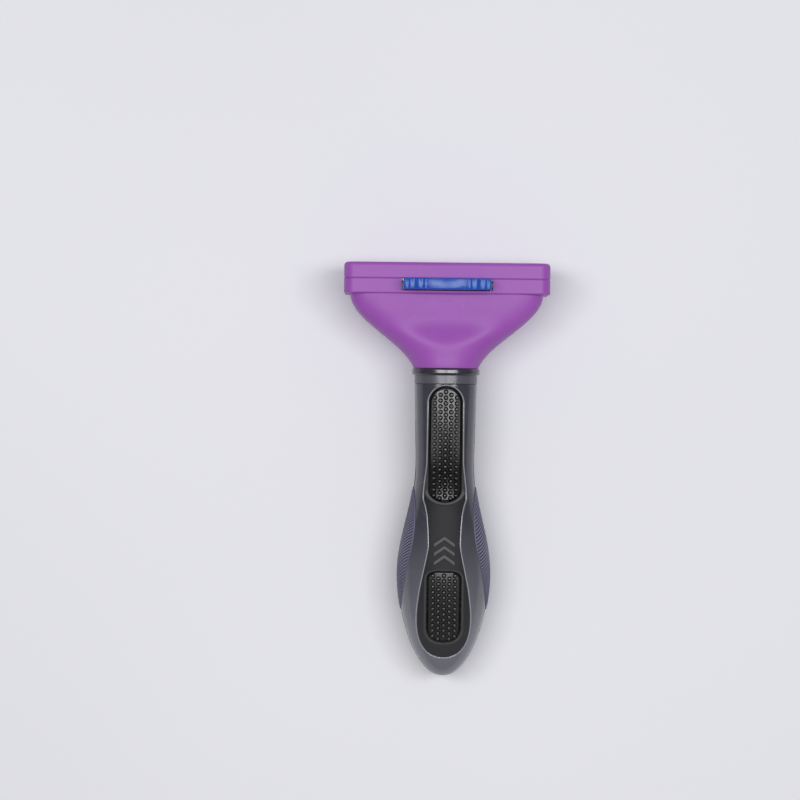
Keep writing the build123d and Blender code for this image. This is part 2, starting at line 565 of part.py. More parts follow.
def side_grip_outline(grow: float) -> Face:
    """The ribbed side inlay seen from the side: a leaf that follows the handle's middle line."""
    upper, lower = [], []
    for i in range(-4, 5):
        share = i / 4.6
        s = SIDE_GRIP_CENTRE_FROM_TOP + (SIDE_GRIP_HALF_LENGTH + grow) * share
        half = (SIDE_GRIP_HALF_HEIGHT + grow) * (1 - share * share) ** 0.8
        upper.append((0, Y_HANDLE - s, handle_centre(s) + half))
        lower.append((0, Y_HANDLE - s, handle_centre(s) - half))
    ends = [SIDE_GRIP_CENTRE_FROM_TOP + side * (SIDE_GRIP_HALF_LENGTH + grow) for side in (-1, 1)]
    tips = [(0, Y_HANDLE - s, handle_centre(s)) for s in ends]
    return closed_face([tips[0], *upper, tips[1], *lower[::-1]])


def thumb_prism(outline: Sketch) -> Part:
    """An outline from above, carried up through the thumb side."""
    return extrude(Pos(0, 0, NECK_HEIGHT - 2) * outline, TALL, dir=(0, 0, 1))


def finger_prism(outline: Sketch) -> Part:
    """An outline from above, carried down through the finger side."""
    return extrude(Pos(0, 0, PALM_HEIGHT - 1) * outline, TALL, dir=(0, 0, -1))


def left_prism(outline: Face) -> Part:
    """An outline from the side, carried out through the left side of the handle."""
    return extrude(Pos(-NECK_HALF_WIDTH * 0.6, 0, 0) * outline, TALL, dir=(-1, 0, 0))


def neck_collar() -> Part:
    """The ring between head and handle."""
    half_width, half_depth = NECK_HALF_WIDTH + COLLAR_FLARE, NECK_HALF_DEPTH + COLLAR_FLARE
    ring = oval(Y_COLLAR, COLLAR_HEIGHT, half_width, half_depth)
    ring = fillet(ring.edges(), COLLAR_EDGE_RADIUS)
    return ring - oval(Y_COLLAR + 1, COLLAR_HEIGHT + 2, SPIGOT_HALF_WIDTH + 2 * GAP, SPIGOT_HALF_DEPTH + 2 * GAP)


def neck_band() -> Part:
    """The band below the collar that holds the tops of the two shells together."""
    half_width, half_depth = NECK_HALF_WIDTH + BAND_PROUD, NECK_HALF_DEPTH + BAND_PROUD
    ring = fillet(oval(Y_HANDLE, BAND_LENGTH, half_width, half_depth).edges(), BAND_ROUNDING)
    wall = BAND_PROUD + BAND_WALL
    return ring - oval(Y_HANDLE + 1, BAND_LENGTH + 2, half_width - wall, half_depth - wall)


def band_seat() -> Part:
    """What the band takes away from the tops of the shells."""
    wall = BAND_WALL + GAP
    outer = oval(Y_HANDLE + 1, BAND_LENGTH + GAP + 1, 2 * NECK_HALF_WIDTH, 2 * NECK_HALF_DEPTH)
    return outer - oval(Y_HANDLE + 2, BAND_LENGTH + 4, NECK_HALF_WIDTH - wall, NECK_HALF_DEPTH - wall)


def handle_screw_seat(s: float) -> float:
    """The height of a handle screw's head, sunk into the finger side and less so over the spigot."""
    half = handle_half(s, NECK_HALF_DEPTH, WAIST_HALF_DEPTH, PALM_HALF_DEPTH) * butt_share(s, 0)
    if s < SPIGOT_LENGTH:
        return handle_centre(s) - half + NECK_HEAD_SINK
    return handle_centre(s) - half + PALM_HEAD_SINK * min(1.0, half / NECK_HALF_DEPTH)


def handle_screw_tip(s: float) -> float:
    """The height of a handle screw's point, inside the thumb shell."""
    half = handle_half(s, NECK_HALF_DEPTH, WAIST_HALF_DEPTH, PALM_HALF_DEPTH) * butt_share(s, 0)
    return handle_centre(s) + half * 0.62


def handle_screws() -> Compound:
    """The screws that pull the finger shell to the thumb shell, the first one through the spigot."""
    made = [screw_along_z(Y_HANDLE - s, handle_screw_seat(s), handle_screw_tip(s)) for s in HANDLE_SCREWS_FROM_TOP]
    return Compound(children=made)


def handle_pieces() -> dict:
    """The two shells and the five soft inlays, cut from one form so that they follow one surface."""
    outer = handle_body(0)
    floor, soft_floor = handle_body(-INLAY_DEPTH), handle_body(-INLAY_DEPTH + GAP)
    socket = oval(Y_HANDLE + 1, SPIGOT_LENGTH + 1 + 4 * GAP, SPIGOT_HALF_WIDTH + 2 * GAP, SPIGOT_HALF_DEPTH + 2 * GAP)
    cavity = handle_body(-HANDLE_WALL, SPIGOT_LENGTH + 4.0)
    inner = handle_body(-INLAY_DEPTH - 0.6)
    bosses = None
    for s in HANDLE_SCREWS_FROM_TOP[1:]:
        boss = rod_along_z(0, Y_HANDLE - s, HANDLE_BOSS_RADIUS, -1, TALL / 2) & inner
        bosses = boss if bosses is None else bosses + boss
    form = outer - cavity - socket + bosses - band_seat()
    form -= thumb_prism(spine_outline(0)) - floor
    form -= finger_prism(finger_grip_outline(0)) - floor
    side_seat = left_prism(side_grip_outline(0)) - handle_body(-SIDE_GRIP_DEPTH)
    form = form - side_seat - mirror(side_seat, Plane.YZ)
    thumb_shell = form & above_parting(0)
    finger_shell = form - above_parting(-PARTING_GAP)
    for s in HANDLE_SCREWS_FROM_TOP:
        y, seat = Y_HANDLE - s, handle_screw_seat(s)
        thumb_shell -= rod_along_z(0, y, SCREW_RADIUS + GAP, 0, handle_screw_tip(s) + 0.4)
        finger_shell -= rod_along_z(0, y, SCREW_RADIUS + 0.15, 0, TALL)
        finger_shell -= rod_along_z(0, y, SCREW_HEAD_RADIUS + 0.2, -1, seat + SCREW_HEAD_HEIGHT)
    spine_form = (thumb_prism(spine_outline(-GAP)) & handle_body(INLAY_PROUD)) - soft_floor
    pad_form = handle_body(PAD_PROUD)
    spine = spine_form
    pads = {}
    for name, outline in (("thumb_pad", thumb_pad_outline), ("palm_pad", palm_pad_outline)):
        spine -= thumb_prism(outline(0))
        pads[name] = (thumb_prism(outline(-PAD_GROOVE)) & pad_form) - soft_floor
    spine += emblem(spine_form)
    grip = (finger_prism(finger_grip_outline(-GAP)) & handle_body(INLAY_PROUD)) - soft_floor
    left = left_prism(side_grip_outline(-GAP)) & handle_body(SIDE_GRIP_PROUD)
    left -= handle_body(-SIDE_GRIP_DEPTH + GAP)
    return {"thumb_side_shell": thumb_shell, "finger_side_shell": finger_shell, "thumb_side_spine": spine,
            "finger_side_grip": grip, **pads, "side_grip_left": left, "side_grip_right": mirror(left, Plane.YZ)}


def emblem(spine_form: Part) -> Part:
    """Three raised chevrons on the spine's waist, pointing at the head."""
    raised = handle_body(INLAY_PROUD + EMBLEM_RAISE) - handle_body(INLAY_PROUD - 0.3)
    half, limb = EMBLEM_HALF_WIDTH, EMBLEM_LIMB
    marks = None
    for i in (-1, 0, 1):
        y = Y_HANDLE - EMBLEM_FROM_TOP + i * EMBLEM_STEP
        arrow = Polyline((-half, y - limb), (0, y + limb), (half, y - limb), (half, y - 2 * limb), (0, y),
                         (-half, y - 2 * limb), close=True)
        mark = thumb_prism(make_face(arrow)) & raised
        marks = mark if marks is None else marks + mark
    return marks


def main() -> None:
    """Builds every piece and writes it."""
    os.makedirs("parts", exist_ok=True)
    save(blade(), "blade")
    save(head_cover(), "head_cover")
    save(head_housing(), "head_housing")
    save(head_screws(), "head_screws")
    save(ejector_plate(), "ejector_plate")
    save(ejector_button(), "ejector_button")
    for name, side in (("left", -1), ("right", 1)):
        save(guide_rod(side), f"guide_rod_{name}")
        save(return_spring(side), f"return_spring_{name}")
    save(neck_collar(), "neck_collar")
    save(neck_band(), "neck_band")
    save(handle_screws(), "handle_screws")
    for name, piece in handle_pieces().items():
        save(piece, name)


main()
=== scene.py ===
"""The looks of a hand-held deshedding tool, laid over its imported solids.

The tool lies on its comb's tips and its palm swell, thumb side up. +Y runs from the butt to the head, +X
across the comb and +Z up. Everything is in metres. On the handle, a place is given by s, the distance from
the handle's top towards the butt, and q, the distance across one of its faces from the middle line.
"""

import logging
import math
from dataclasses import dataclass, field
from enum import Enum
from functools import cache
from typing import Callable

import bmesh
import bpy
import numpy as np
from bpy.types import ID, Material, Node, NodeSocket, NodeTree, Object
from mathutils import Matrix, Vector


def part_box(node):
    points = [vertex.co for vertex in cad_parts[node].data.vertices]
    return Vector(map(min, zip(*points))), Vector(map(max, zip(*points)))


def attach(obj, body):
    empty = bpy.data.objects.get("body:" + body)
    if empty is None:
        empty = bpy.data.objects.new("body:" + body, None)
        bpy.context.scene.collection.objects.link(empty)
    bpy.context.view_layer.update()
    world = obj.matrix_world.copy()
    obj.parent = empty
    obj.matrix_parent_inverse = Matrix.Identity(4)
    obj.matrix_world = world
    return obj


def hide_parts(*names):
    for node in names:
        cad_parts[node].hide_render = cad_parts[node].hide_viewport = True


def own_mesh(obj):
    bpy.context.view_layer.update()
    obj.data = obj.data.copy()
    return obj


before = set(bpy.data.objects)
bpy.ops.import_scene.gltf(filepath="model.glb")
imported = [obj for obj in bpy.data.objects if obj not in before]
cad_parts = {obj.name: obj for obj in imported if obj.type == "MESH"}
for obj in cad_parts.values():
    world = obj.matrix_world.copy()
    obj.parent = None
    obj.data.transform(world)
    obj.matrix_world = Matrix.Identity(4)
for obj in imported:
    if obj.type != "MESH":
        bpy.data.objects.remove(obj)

LOG = logging.getLogger("deshedding_tool")
MM = 0.001
HANDLE_LENGTH = 107.3 * MM
TOOL = "tool"
EJECTOR = "ejector"
# The point attribute whose value the finishes paint as a highlight on rises and as shade in hollows.
RELIEF = "relief"

Array = np.ndarray
Colour = tuple[float, float, float]


# ---- Shapes as arrays ----
def ease(share: Array) -> Array:
    """Half a cosine wave: 0 up to 0, 1 from 1 on, and level at both ends.

    Args:
        share: Where along the step each point is.
    Returns:
        The height of the step at each point.
    """
    return 0.5 - 0.5 * np.cos(np.pi * np.clip(share, 0.0, 1.0))


def smooth_line(at: Array, knots: Array, values: Array) -> Array:
    """A cubic through knots that never overshoots them: each knot's slope is the harmonic mean of the slopes
    beside it, and nought where they differ in sign.

    Args:
        at: Where to read the line.
        knots: Rising places that the line passes through.
        values: Its values there.
    Returns:
        The line's values.
    """
    widths = np.diff(knots)
    slopes = np.diff(values) / widths
    product = slopes[:-1] * slopes[1:]
    total = slopes[:-1] + slopes[1:]
    inner = np.where(product > 0, 2 * product / np.where(total == 0, 1, total), 0.0)
    tangents = np.concatenate([[0.0], inner, [0.0]])
    i = np.clip(np.searchsorted(knots, at) - 1, 0, len(widths) - 1)
    t = np.clip((at - knots[i]) / widths[i], 0, 1)
    start, end = values[i], values[i + 1]
    return (start * (1 + 2 * t) * (1 - t) ** 2 + end * t * t * (3 - 2 * t)
            + widths[i] * (tangents[i] * t * (1 - t) ** 2 - tangents[i + 1] * t * t * (1 - t)))


@dataclass(frozen=True)
class Patch:
    """A grid of points, closed along its columns, with a relief at each: 1 on an edge that stands up, -1 in a
    hollow. The finishes paint a highlight where it is 1 and shade where it is -1.

    The points' last three axes are rows, columns and x, y, z; any axes before them count separate grids.
    """

    points: Array
    relief: Array | float = 0.0

    def values(self) -> Array:
        """The relief of every point, in the points' order."""
        return np.broadcast_to(self.relief, self.points.shape[:-1]).reshape(-1)


def new_object(name: str, data: ID) -> Object:
    """An object with the given data, linked to the scene."""
    made = bpy.data.objects.new(name, data)
    bpy.context.scene.collection.objects.link(made)
    return made


def grid_object(name: str, patches: list[Patch], crease: float = 40.0) -> Object:
    """One object from grids of points: neighbours in a grid make a face, the last column joins the first,
    doubles are merged, and faces point outwards. The relief is kept as an attribute of the points.

    Args:
        name: The piece's name.
        patches: The grids.
        crease: The angle in degrees past which an edge is sharp.
    Returns:
        The object, linked to the scene.
    """
    points, faces, first = [], [], 0
    for patch in patches:
        rows, columns = patch.points.shape[-3:-1]
        batch = patch.points.reshape(-1, rows, columns, 3)
        index = np.arange(batch.size // 3).reshape(batch.shape[:-1]) + first
        beside = np.roll(index, -1, axis=-1)
        quads = np.stack([index[:, :-1], beside[:, :-1], beside[:, 1:], index[:, 1:]], axis=-1)
        points.append(batch.reshape(-1, 3))
        faces.append(quads.reshape(-1, 4))
        first += batch.size // 3
    mesh = bpy.data.meshes.new(name)
    mesh.from_pydata(np.concatenate(points).tolist(), [], np.concatenate(faces).tolist())
    relief = mesh.attributes.new(RELIEF, "FLOAT", "POINT")
    values = np.concatenate([patch.values() for patch in patches])
    relief.data.foreach_set("value", values.astype(np.float32))
    work = bmesh.new()
    work.from_mesh(mesh)
    bmesh.ops.remove_doubles(work, verts=work.verts, dist=1e-6)
    bmesh.ops.dissolve_degenerate(work, edges=work.edges, dist=1e-7)
    bmesh.ops.recalc_face_normals(work, faces=work.faces)
    work.to_mesh(mesh)
    work.free()
    mesh.shade_smooth()
    mesh.set_sharp_from_angle(angle=math.radians(crease))
    return new_object(name, mesh)


def distances(points: Array) -> Array:
    """How far along a line each of its points is, with one point a row."""
    return np.concatenate([[0.0], np.cumsum(np.linalg.norm(np.diff(points, axis=0), axis=1))])


def quarter(radius: float, steps: int) -> tuple[Array, Array]:
    """A quarter circle as two distances: one that grows from nought to the radius, and one that falls."""
    turn = np.linspace(0, np.pi / 2, steps)
    return radius * (1 - np.cos(turn)), radius * (1 - np.sin(turn))


def even_loop(points: Array, count: int) -> Array:
    """Points at equal steps along a closed line.

    Args:
        points: The line, one point a row, with its first point repeated at its end.
        count: How many points to give.
    Returns:
        The points, without the repeat.
    """
    along = distances(points)
    want = along[-1] * np.arange(count) / count
    return np.stack([np.interp(want, along, points[:, k]) for k in range(points.shape[1])], axis=-1)


class Side(Enum):
    """The handle's four faces: which way is across each, and which way it looks."""

    THUMB = ((1.0, 0.0, 0.0), (0.0, 0.0, 1.0))
    FINGER = ((-1.0, 0.0, 0.0), (0.0, 0.0, -1.0))
    LEFT = ((0.0, 0.0, 1.0), (-1.0, 0.0, 0.0))
    RIGHT = ((0.0, 0.0, -1.0), (1.0, 0.0, 0.0))

    @property
    def flat(self) -> bool:
        """Whether the face is the thumb's or the fingers', which the handle's width lies across."""
        return self in (Side.THUMB, Side.FINGER)


@dataclass(frozen=True)
class HandleForm:
    """The handle's outer form: an oval section carried along a line that sweeps down from neck to palm.

    A section's half sizes go from neck to waist and from waist to palm in half cosine waves. Past the palm
    both are multiplied by sqrt(1 - x**roundness), where x goes from 0 at the palm to 1 at the butt.
    """

    y_top: float
    length: float
    neck: tuple[float, float] = (11.0 * MM, 9.7 * MM)
    waist: tuple[float, float] = (10.4 * MM, 10.0 * MM)
    palm: tuple[float, float] = (16.3 * MM, 14.0 * MM)
    neck_height: float = 19.5 * MM
    palm_height: float = 14.4 * MM
    sweep_from: float = 8.0 * MM
    waist_at: float = 32.0 * MM
    palm_at: float = 71.5 * MM
    roundness: float = 1.75

    def sizes(self, s: Array) -> tuple[Array, Array, Array]:
        """Half width, half depth and the middle line's height, before the butt closes them.

        Args:
            s: Distances from the handle's top.
        Returns:
            The three, each as s is.
        """
        upper = ease(s / self.waist_at)
        lower = ease((s - self.waist_at) / (self.palm_at - self.waist_at))
        half = [a + (b - a) * upper + (c - b) * lower for a, b, c in zip(self.neck, self.waist, self.palm)]
        drop = ease((s - self.sweep_from) / (self.palm_at - self.sweep_from))
        return half[0], half[1], self.neck_height + (self.palm_height - self.neck_height) * drop

    def closing(self, s: Array) -> tuple[Array, Array]:
        """The share of full size that the closing butt leaves, and that share times its own slope.

        The product stays finite at the very end, where the share goes to nought.

        Args:
            s: Distances from the handle's top.
        Returns:
            The share of full size, and share times slope.
        """
        tail = self.length - self.palm_at
        x = np.clip((s - self.palm_at) / tail, 0.0, 1.0)
        return np.sqrt(1 - x**self.roundness), -0.5 * self.roundness * x ** (self.roundness - 1) / tail

    def half_across(self, side: Side, s: Array) -> Array:
        """The half size across a face at s."""
        half_width, half_depth, _ = self.sizes(s)
        return (half_width if side.flat else half_depth) * self.closing(s)[0]

    def place(self, side: Side, s: Array, q: Array, rise: Array) -> Array:
        """Points on the form, or above it along its normal, which is the gradient of
        (across / half across) squared + (outward / half outward) squared.

        Args:
            side: The face that s and q are read on.
            s: Distances from the handle's top.
            q: Distances across the face.
            rise: Heights above the form.
        Returns:
            Points, with x, y, z on the last axis.
        """
        step = 0.05 * MM
        sizes = self.sizes(s)
        rates = [(b - a) / (2 * step) for a, b in zip(self.sizes(s - step), self.sizes(s + step))]
        order = (0, 1) if side.flat else (1, 0)
        wide, deep = (sizes[k] for k in order)
        wide_rate, deep_rate = (rates[k] for k in order)
        share, slope = self.closing(s)
        across, outward = (np.array(v) for v in side.value)
        v = np.clip(q / np.maximum(wide * share, 1e-9), -1, 1)
        u = np.sqrt(1 - v * v)
        base = (v * wide * share)[..., None] * across + (u * deep * share)[..., None] * outward
        base[..., 1] = self.y_top - s
        base[..., 2] += sizes[2]
        tilt = (across[2] * v / wide + outward[2] * u / deep) * share * rates[2]
        lean = v * v * (share**2 * wide_rate / wide + slope) + u * u * (share**2 * deep_rate / deep + slope)
        normal = (v * share / wide)[..., None] * across + (u * share / deep)[..., None] * outward
        normal[..., 1] += lean + tilt
        normal /= np.maximum(np.linalg.norm(normal, axis=-1, keepdims=True), 1e-12)
        return base + normal * np.asarray(rise)[..., None]


@dataclass(frozen=True)
class Strip:
    """An outline on one face: half widths along s, closed at each end by the curve (1 - t^p)^(1/p)."""

    side: Side
    start: float
    end: float
    knots: tuple[tuple[float, float], ...]
    start_round: float
    end_round: float
    start_power: float = 2.0
    end_power: float = 2.0

    def width(self, s: Array) -> Array:
        """The half width at s, without the ends' rounding."""
        table = np.array(self.knots)
        return smooth_line(s, table[:, 0], table[:, 1])

    def half(self, s: Array) -> Array:
        """The half width at s, with the ends' rounding.

        Args:
            s: Distances from the handle's top.
        Returns:
            Half widths.
        """
        first = np.clip((self.start + self.start_round - s) / self.start_round, 0, 1)
        last = np.clip((s - self.end + self.end_round) / self.end_round, 0, 1)
        caps = (1 - first**self.start_power) ** (1 / self.start_power)
        return self.width(s) * caps * (1 - last**self.end_power) ** (1 / self.end_power)

    def outside(self, s: Array, q: Array) -> Array:
        """Roughly how far a point lies outside the outline, and less than nought inside it.

        Args:
            s: Distances from the handle's top.
            q: Distances across.
        Returns:
            Distances from the outline.
        """
        first = np.maximum(self.start + self.start_round - s, 0) / self.start_round
        last = np.maximum(s - self.end + self.end_round, 0) / self.end_round
        power = np.where(first > 0, self.start_power, self.end_power)
        width = self.width(np.clip(s, self.start, self.end))
        radius = (np.maximum(first, last) ** power + (np.abs(q) / width) ** power) ** (1 / power)
        return (radius - 1) * width

    def edge(self, count: int) -> tuple[Array, Array]:
        """The outline as a closed loop, down one side and up the other.

        Args:
            count: Points round the loop, an even number.
        Returns:
            s and q of each point.
        """
        t = np.linspace(0, np.pi, 3000)
        s = self.start + (self.end - self.start) * (1 - np.cos(t)) / 2
        right = np.stack([s, self.half(s)], axis=-1)
        along = distances(right)
        want = np.linspace(0, along[-1], count // 2 + 1)
        s, q = (np.interp(want, along, right[:, k]) for k in (0, 1))
        return np.concatenate([s, s[-2:0:-1]]), np.concatenate([q, -q[-2:0:-1]])

    def middle(self, s: Array) -> Array:
        """The point of the middle line that each point of the outline is joined to."""
        return np.clip(s, self.start + self.start_round, self.end - self.end_round)


Relief = Callable[[Array, Array], Array]


@dataclass(frozen=True)
class Inlay:
    """A soft piece let into the handle: a floor, an upright wall, a rounded edge and a top with a relief.

    The surface is a row of closed rings. A ring's points lie between the outline and the middle line, at
    middle + share * (1 - inset / distance) * (outline - middle). A relief as high as full counts as 1.
    """

    name: str
    strip: Strip
    proud: float
    depth: float
    edge_radius: float
    rings: int
    count: int
    gap: float = 0.05 * MM
    full: float = 0.3 * MM

    def build(self, form: HandleForm, relief: Relief) -> Patch:
        """Works out the piece's surface.

        Args:
            form: The handle's form.
            relief: Height to add to the top at s and q.
        Returns:
            The surface.
        """
        inward, down = quarter(self.edge_radius, 6)
        parts = ((np.array([0.0, 0.5, 1.0]), self.gap, -self.depth),
                 (1.0, self.gap + inward, self.proud - down),
                 (np.linspace(1, 0, self.rings)[1:], self.gap + self.edge_radius, self.proud))
        rows = np.concatenate([np.stack(np.broadcast_arrays(*part), axis=-1) for part in parts])
        share, inset, rise = rows.T[:, :, None]
        edge_s, edge_q = self.strip.edge(self.count)
        middle = self.strip.middle(edge_s)
        reach = np.hypot(edge_s - middle, edge_q)
        part = share * (1 - inset / np.maximum(reach, inset + 1e-6))
        s = middle + part * (edge_s - middle)
        q = part * edge_q
        top = ease((rise + self.depth) / (self.proud + self.depth) * 4 - 3)
        added = top * relief(s, q)
        # The relief share, clipped to -1..1, is painted as a highlight where the top rises and as shade where
        # it dips.
        return Patch(form.place(self.strip.side, s, q, rise + added), np.clip(added / self.full, -1, 1))


@dataclass(frozen=True)
class HalfShell:
    """One half of the handle's hard shell, with a seat for an inlay and a lip round the seat.

    Rings run from the seat's middle line over its floor, up its wall, over the lip, and on to the parting
    line and the neck, then back inside the wall. Between seat and parting line, a ring lies at a share of the
    way to the point where the ray from the middle line through the outline leaves the handle's silhouette.
    """

    name: str
    strip: Strip
    count: int
    seat_depth: float = 1.2 * MM
    wall: float = 2.2 * MM
    lip_rise: float = 0.2 * MM
    lip_width: float = 0.62 * MM
    lip_from: float = 0.08 * MM
    lip_rings: int = 9
    lip_phase: float = 0.18
    skin_rings: int = 44
    parting_drop: float = 0.16 * MM
    parting_width: float = 0.3 * MM
    tongue_drop: float = 1.2 * MM
    tongue: float = 3.03 * MM
    farthest: float = 40.0
    halvings: int = 46

    def silhouette(self, form: HandleForm, edge_s: Array, edge_q: Array, top: float) -> tuple[Array, Array]:
        """Where each ray leaves the handle's silhouette, found by halving.

        Args:
            form: The handle's form.
            edge_s: The seat's outline.
            edge_q: The same, across.
            top: The least s that the silhouette reaches.
        Returns:
            s and q of the points on the silhouette.
        """
        middle = self.strip.middle(edge_s)
        low = np.ones_like(edge_s)
        high = np.full_like(edge_s, self.farthest)
        for _ in range(self.halvings):
            half = (low + high) / 2
            s, q = middle + half * (edge_s - middle), half * edge_q
            on = (s >= top) & (s <= form.length)
            inside = on & (np.abs(q) <= form.half_across(self.strip.side, np.clip(s, 0, form.length)))
            low, high = np.where(inside, half, low), np.where(inside, high, half)
        return np.clip(middle + low * (edge_s - middle), top, form.length), low * edge_q

    def build(self, form: HandleForm) -> Patch:
        """Works out the shell's surface, whose relief is 1 along the lip, where the finish paints a
        highlight.

        Args:
            form: The handle's form.
        Returns:
            The surface.
        """
        edge_s, edge_q = self.strip.edge(self.count)
        middle = self.strip.middle(edge_s)
        far_s, far_q = self.silhouette(form, edge_s, edge_q, self.tongue)
        end_s, end_q = self.silhouette(form, edge_s, edge_q, 0.0)
        span = np.hypot(far_s - edge_s, far_q - edge_q)
        lip = np.linspace(self.lip_from, self.lip_width, self.lip_rings)[:, None]
        phase = np.linspace(self.lip_phase, 1, self.lip_rings)[:, None]
        lip_rise = self.lip_rise * np.sin(np.pi * phase) ** 1.5
        start = np.minimum(self.lip_width / span, 1)
        skin = start + (1 - start) * np.sin(np.pi / 2 * np.linspace(0, 1, self.skin_rings)[1:, None])
        bevel = -self.parting_drop * (1 - ease((1 - skin) * span / self.parting_width))
        flat = np.zeros((1, edge_s.size))
        seat = np.linspace(0, 1, 4)[:-1, None] + flat
        wall = np.linspace(1, 0, 6)[:, None] + flat
        floor = (middle + seat * (edge_s - middle), seat * edge_q, 0 * seat - self.seat_depth)
        rows = [floor]
        outer = ((flat, -self.seat_depth), (np.minimum(lip / span, 1), lip_rise), (skin, bevel),
                 (flat + 1, -self.tongue_drop))
        for share, rise in outer:
            row_s, row_q = edge_s + share * (far_s - edge_s), edge_q + share * (far_q - edge_q)
            rows.append((row_s, row_q, rise + 0 * share))
        rows.append((end_s + flat, end_q + flat, flat - self.tongue_drop))
        row_s, row_q = edge_s + wall * (end_s - edge_s), edge_q + wall * (end_q - edge_q)
        rows.append((row_s, row_q, 0 * wall - self.wall))
        rows.append((floor[0][::-1], floor[1][::-1], floor[2] + self.seat_depth - self.wall))
        s, q, rise = (np.concatenate([row[k] for row in rows]) for k in range(3))
        return Patch(form.place(self.strip.side, s, q, rise), np.clip(rise / self.lip_rise, 0, 1))


# ---- Finishes ----
class Bench:
    """Places and links the nodes of one node tree."""

    def __init__(self, tree: NodeTree) -> None:
        """Takes the tree and empties it."""
        self.tree = tree
        self.tree.nodes.clear()

    def add(self, kind: str, inputs: dict | None = None, **settings: object) -> Node:
        """Adds a node.

        Args:
            kind: The node's type.
            inputs: Values or sockets for its inputs, by name or number.
            settings: Its properties.
        Returns:
            The node.
        """
        node = self.tree.nodes.new(kind)
        for key, value in settings.items():
            setattr(node, key, value)
        self.give(node, inputs or {})
        return node

    def feed(self, socket: NodeSocket, value: object) -> None:
        """Links a socket or sets a value."""
        if isinstance(value, NodeSocket):
            self.tree.links.new(value, socket)
        else:
            socket.default_value = value

    def give(self, node: Node, inputs: dict) -> None:
        """Feeds several inputs of a node."""
        for key, value in inputs.items():
            self.feed(node.inputs[key], value)

    def group(self, tree: NodeTree, inputs: dict) -> Node:
        """Adds a shared node group with these inputs."""
        return self.add("ShaderNodeGroup", inputs, node_tree=tree)

    def place(self) -> NodeSocket:
        """Where the point lies in its object's own frame."""
        return self.add("ShaderNodeTexCoord").outputs["Object"]

    def surface(self, inputs: dict) -> None:
        """Adds the surface shader and the output that it goes to."""
        shader = self.add("ShaderNodeBsdfPrincipled", inputs)
        self.add("ShaderNodeOutputMaterial", {"Surface": shader.outputs[0]})

    def noise(self, vector: object, scale: object, detail: float = 3.0, rough: float = 0.5) -> NodeSocket:
        """A noise texture's value."""
        inputs = {"Vector": vector, "Scale": scale, "Detail": detail, "Roughness": rough}
        return self.add("ShaderNodeTexNoise", inputs).outputs[0]

    def math(self, operation: str, *values: object) -> NodeSocket:
        """An arithmetic node's result."""
        return self.add("ShaderNodeMath", dict(enumerate(values)), operation=operation).outputs[0]

    def span(self, value: object, low: float, high: float, to_low: float = 0.0, to_high: float = 1.0,
             ) -> NodeSocket:
        """A value carried from one range to another and kept in it."""
        inputs = dict(enumerate((value, low, high, to_low, to_high)))
        return self.add("ShaderNodeMapRange", inputs, clamp=True).outputs[0]

    def blend(self, share: object, first: object, second: object) -> NodeSocket:
        """A mix of two colours."""
        return self.add("ShaderNodeMix", {0: share, 6: first, 7: second}, data_type="RGBA").outputs[2]


def new_material(name: str) -> tuple[Material, Bench]:
    """Starts a node material.

    Args:
        name: The material's name.
    Returns:
        The material, and a bench on its tree.
    """
    made = bpy.data.materials.new(name)
    made.use_nodes = True
    return made, Bench(made.node_tree)


def new_group(name: str, inputs: dict[str, float], outputs: tuple[str, ...]) -> tuple[Bench, Node, Node]:
    """Starts a shader node group of plain numbers.

    Args:
        name: The group's name.
        inputs: Its inputs with their usual values.
        outputs: Its outputs.
    Returns:
        A bench on its tree, and its input and output nodes.
    """
    tree = bpy.data.node_groups.new(name, "ShaderNodeTree")
    for key, value in inputs.items():
        tree.interface.new_socket(key, in_out="INPUT", socket_type="NodeSocketFloat").default_value = value
    for key in outputs:
        tree.interface.new_socket(key, in_out="OUTPUT", socket_type="NodeSocketFloat")
    bench = Bench(tree)
    return bench, bench.add("NodeGroupInput"), bench.add("NodeGroupOutput")


@cache
def moulded_skin_group() -> NodeTree:
    """A moulded surface: slow waves from cooling, a fine grain and cloudy gloss.

    Returns:
        The group, which gives Roughness, Height and Cloud.
    """
    bench, given, result = new_group(
        "moulded_skin", {"Grain Scale": 3000.0, "Grain": 0.3, "Wave": 0.5, "Gloss": 0.3, "Gloss Spread": 0.1},
        ("Roughness", "Height", "Cloud"))
    place = bench.place()
    grain = bench.noise(place, given.outputs["Grain Scale"], 2.0, 0.6)
    wave = bench.noise(place, 95.0, 1.0, 0.4)
    cloud = bench.noise(place, 60.0, 5.0, 0.62)
    fine = bench.noise(place, 900.0, 4.0, 0.7)
    height = bench.math("ADD", bench.math("MULTIPLY", grain, given.outputs["Grain"]),
                        bench.math("MULTIPLY", wave, given.outputs["Wave"]))
    uneven = bench.math("ADD", bench.math("MULTIPLY", cloud, 0.6), bench.math("MULTIPLY", fine, 0.4))
    level = bench.span(uneven, 0.35, 0.65, -1.0, 1.0)
    rough = bench.math("MULTIPLY_ADD", level, given.outputs["Gloss Spread"], given.outputs["Gloss"])
    bench.give(result, {"Roughness": rough, "Height": height, "Cloud": bench.span(cloud, 0.3, 0.7)})
    return bench.tree


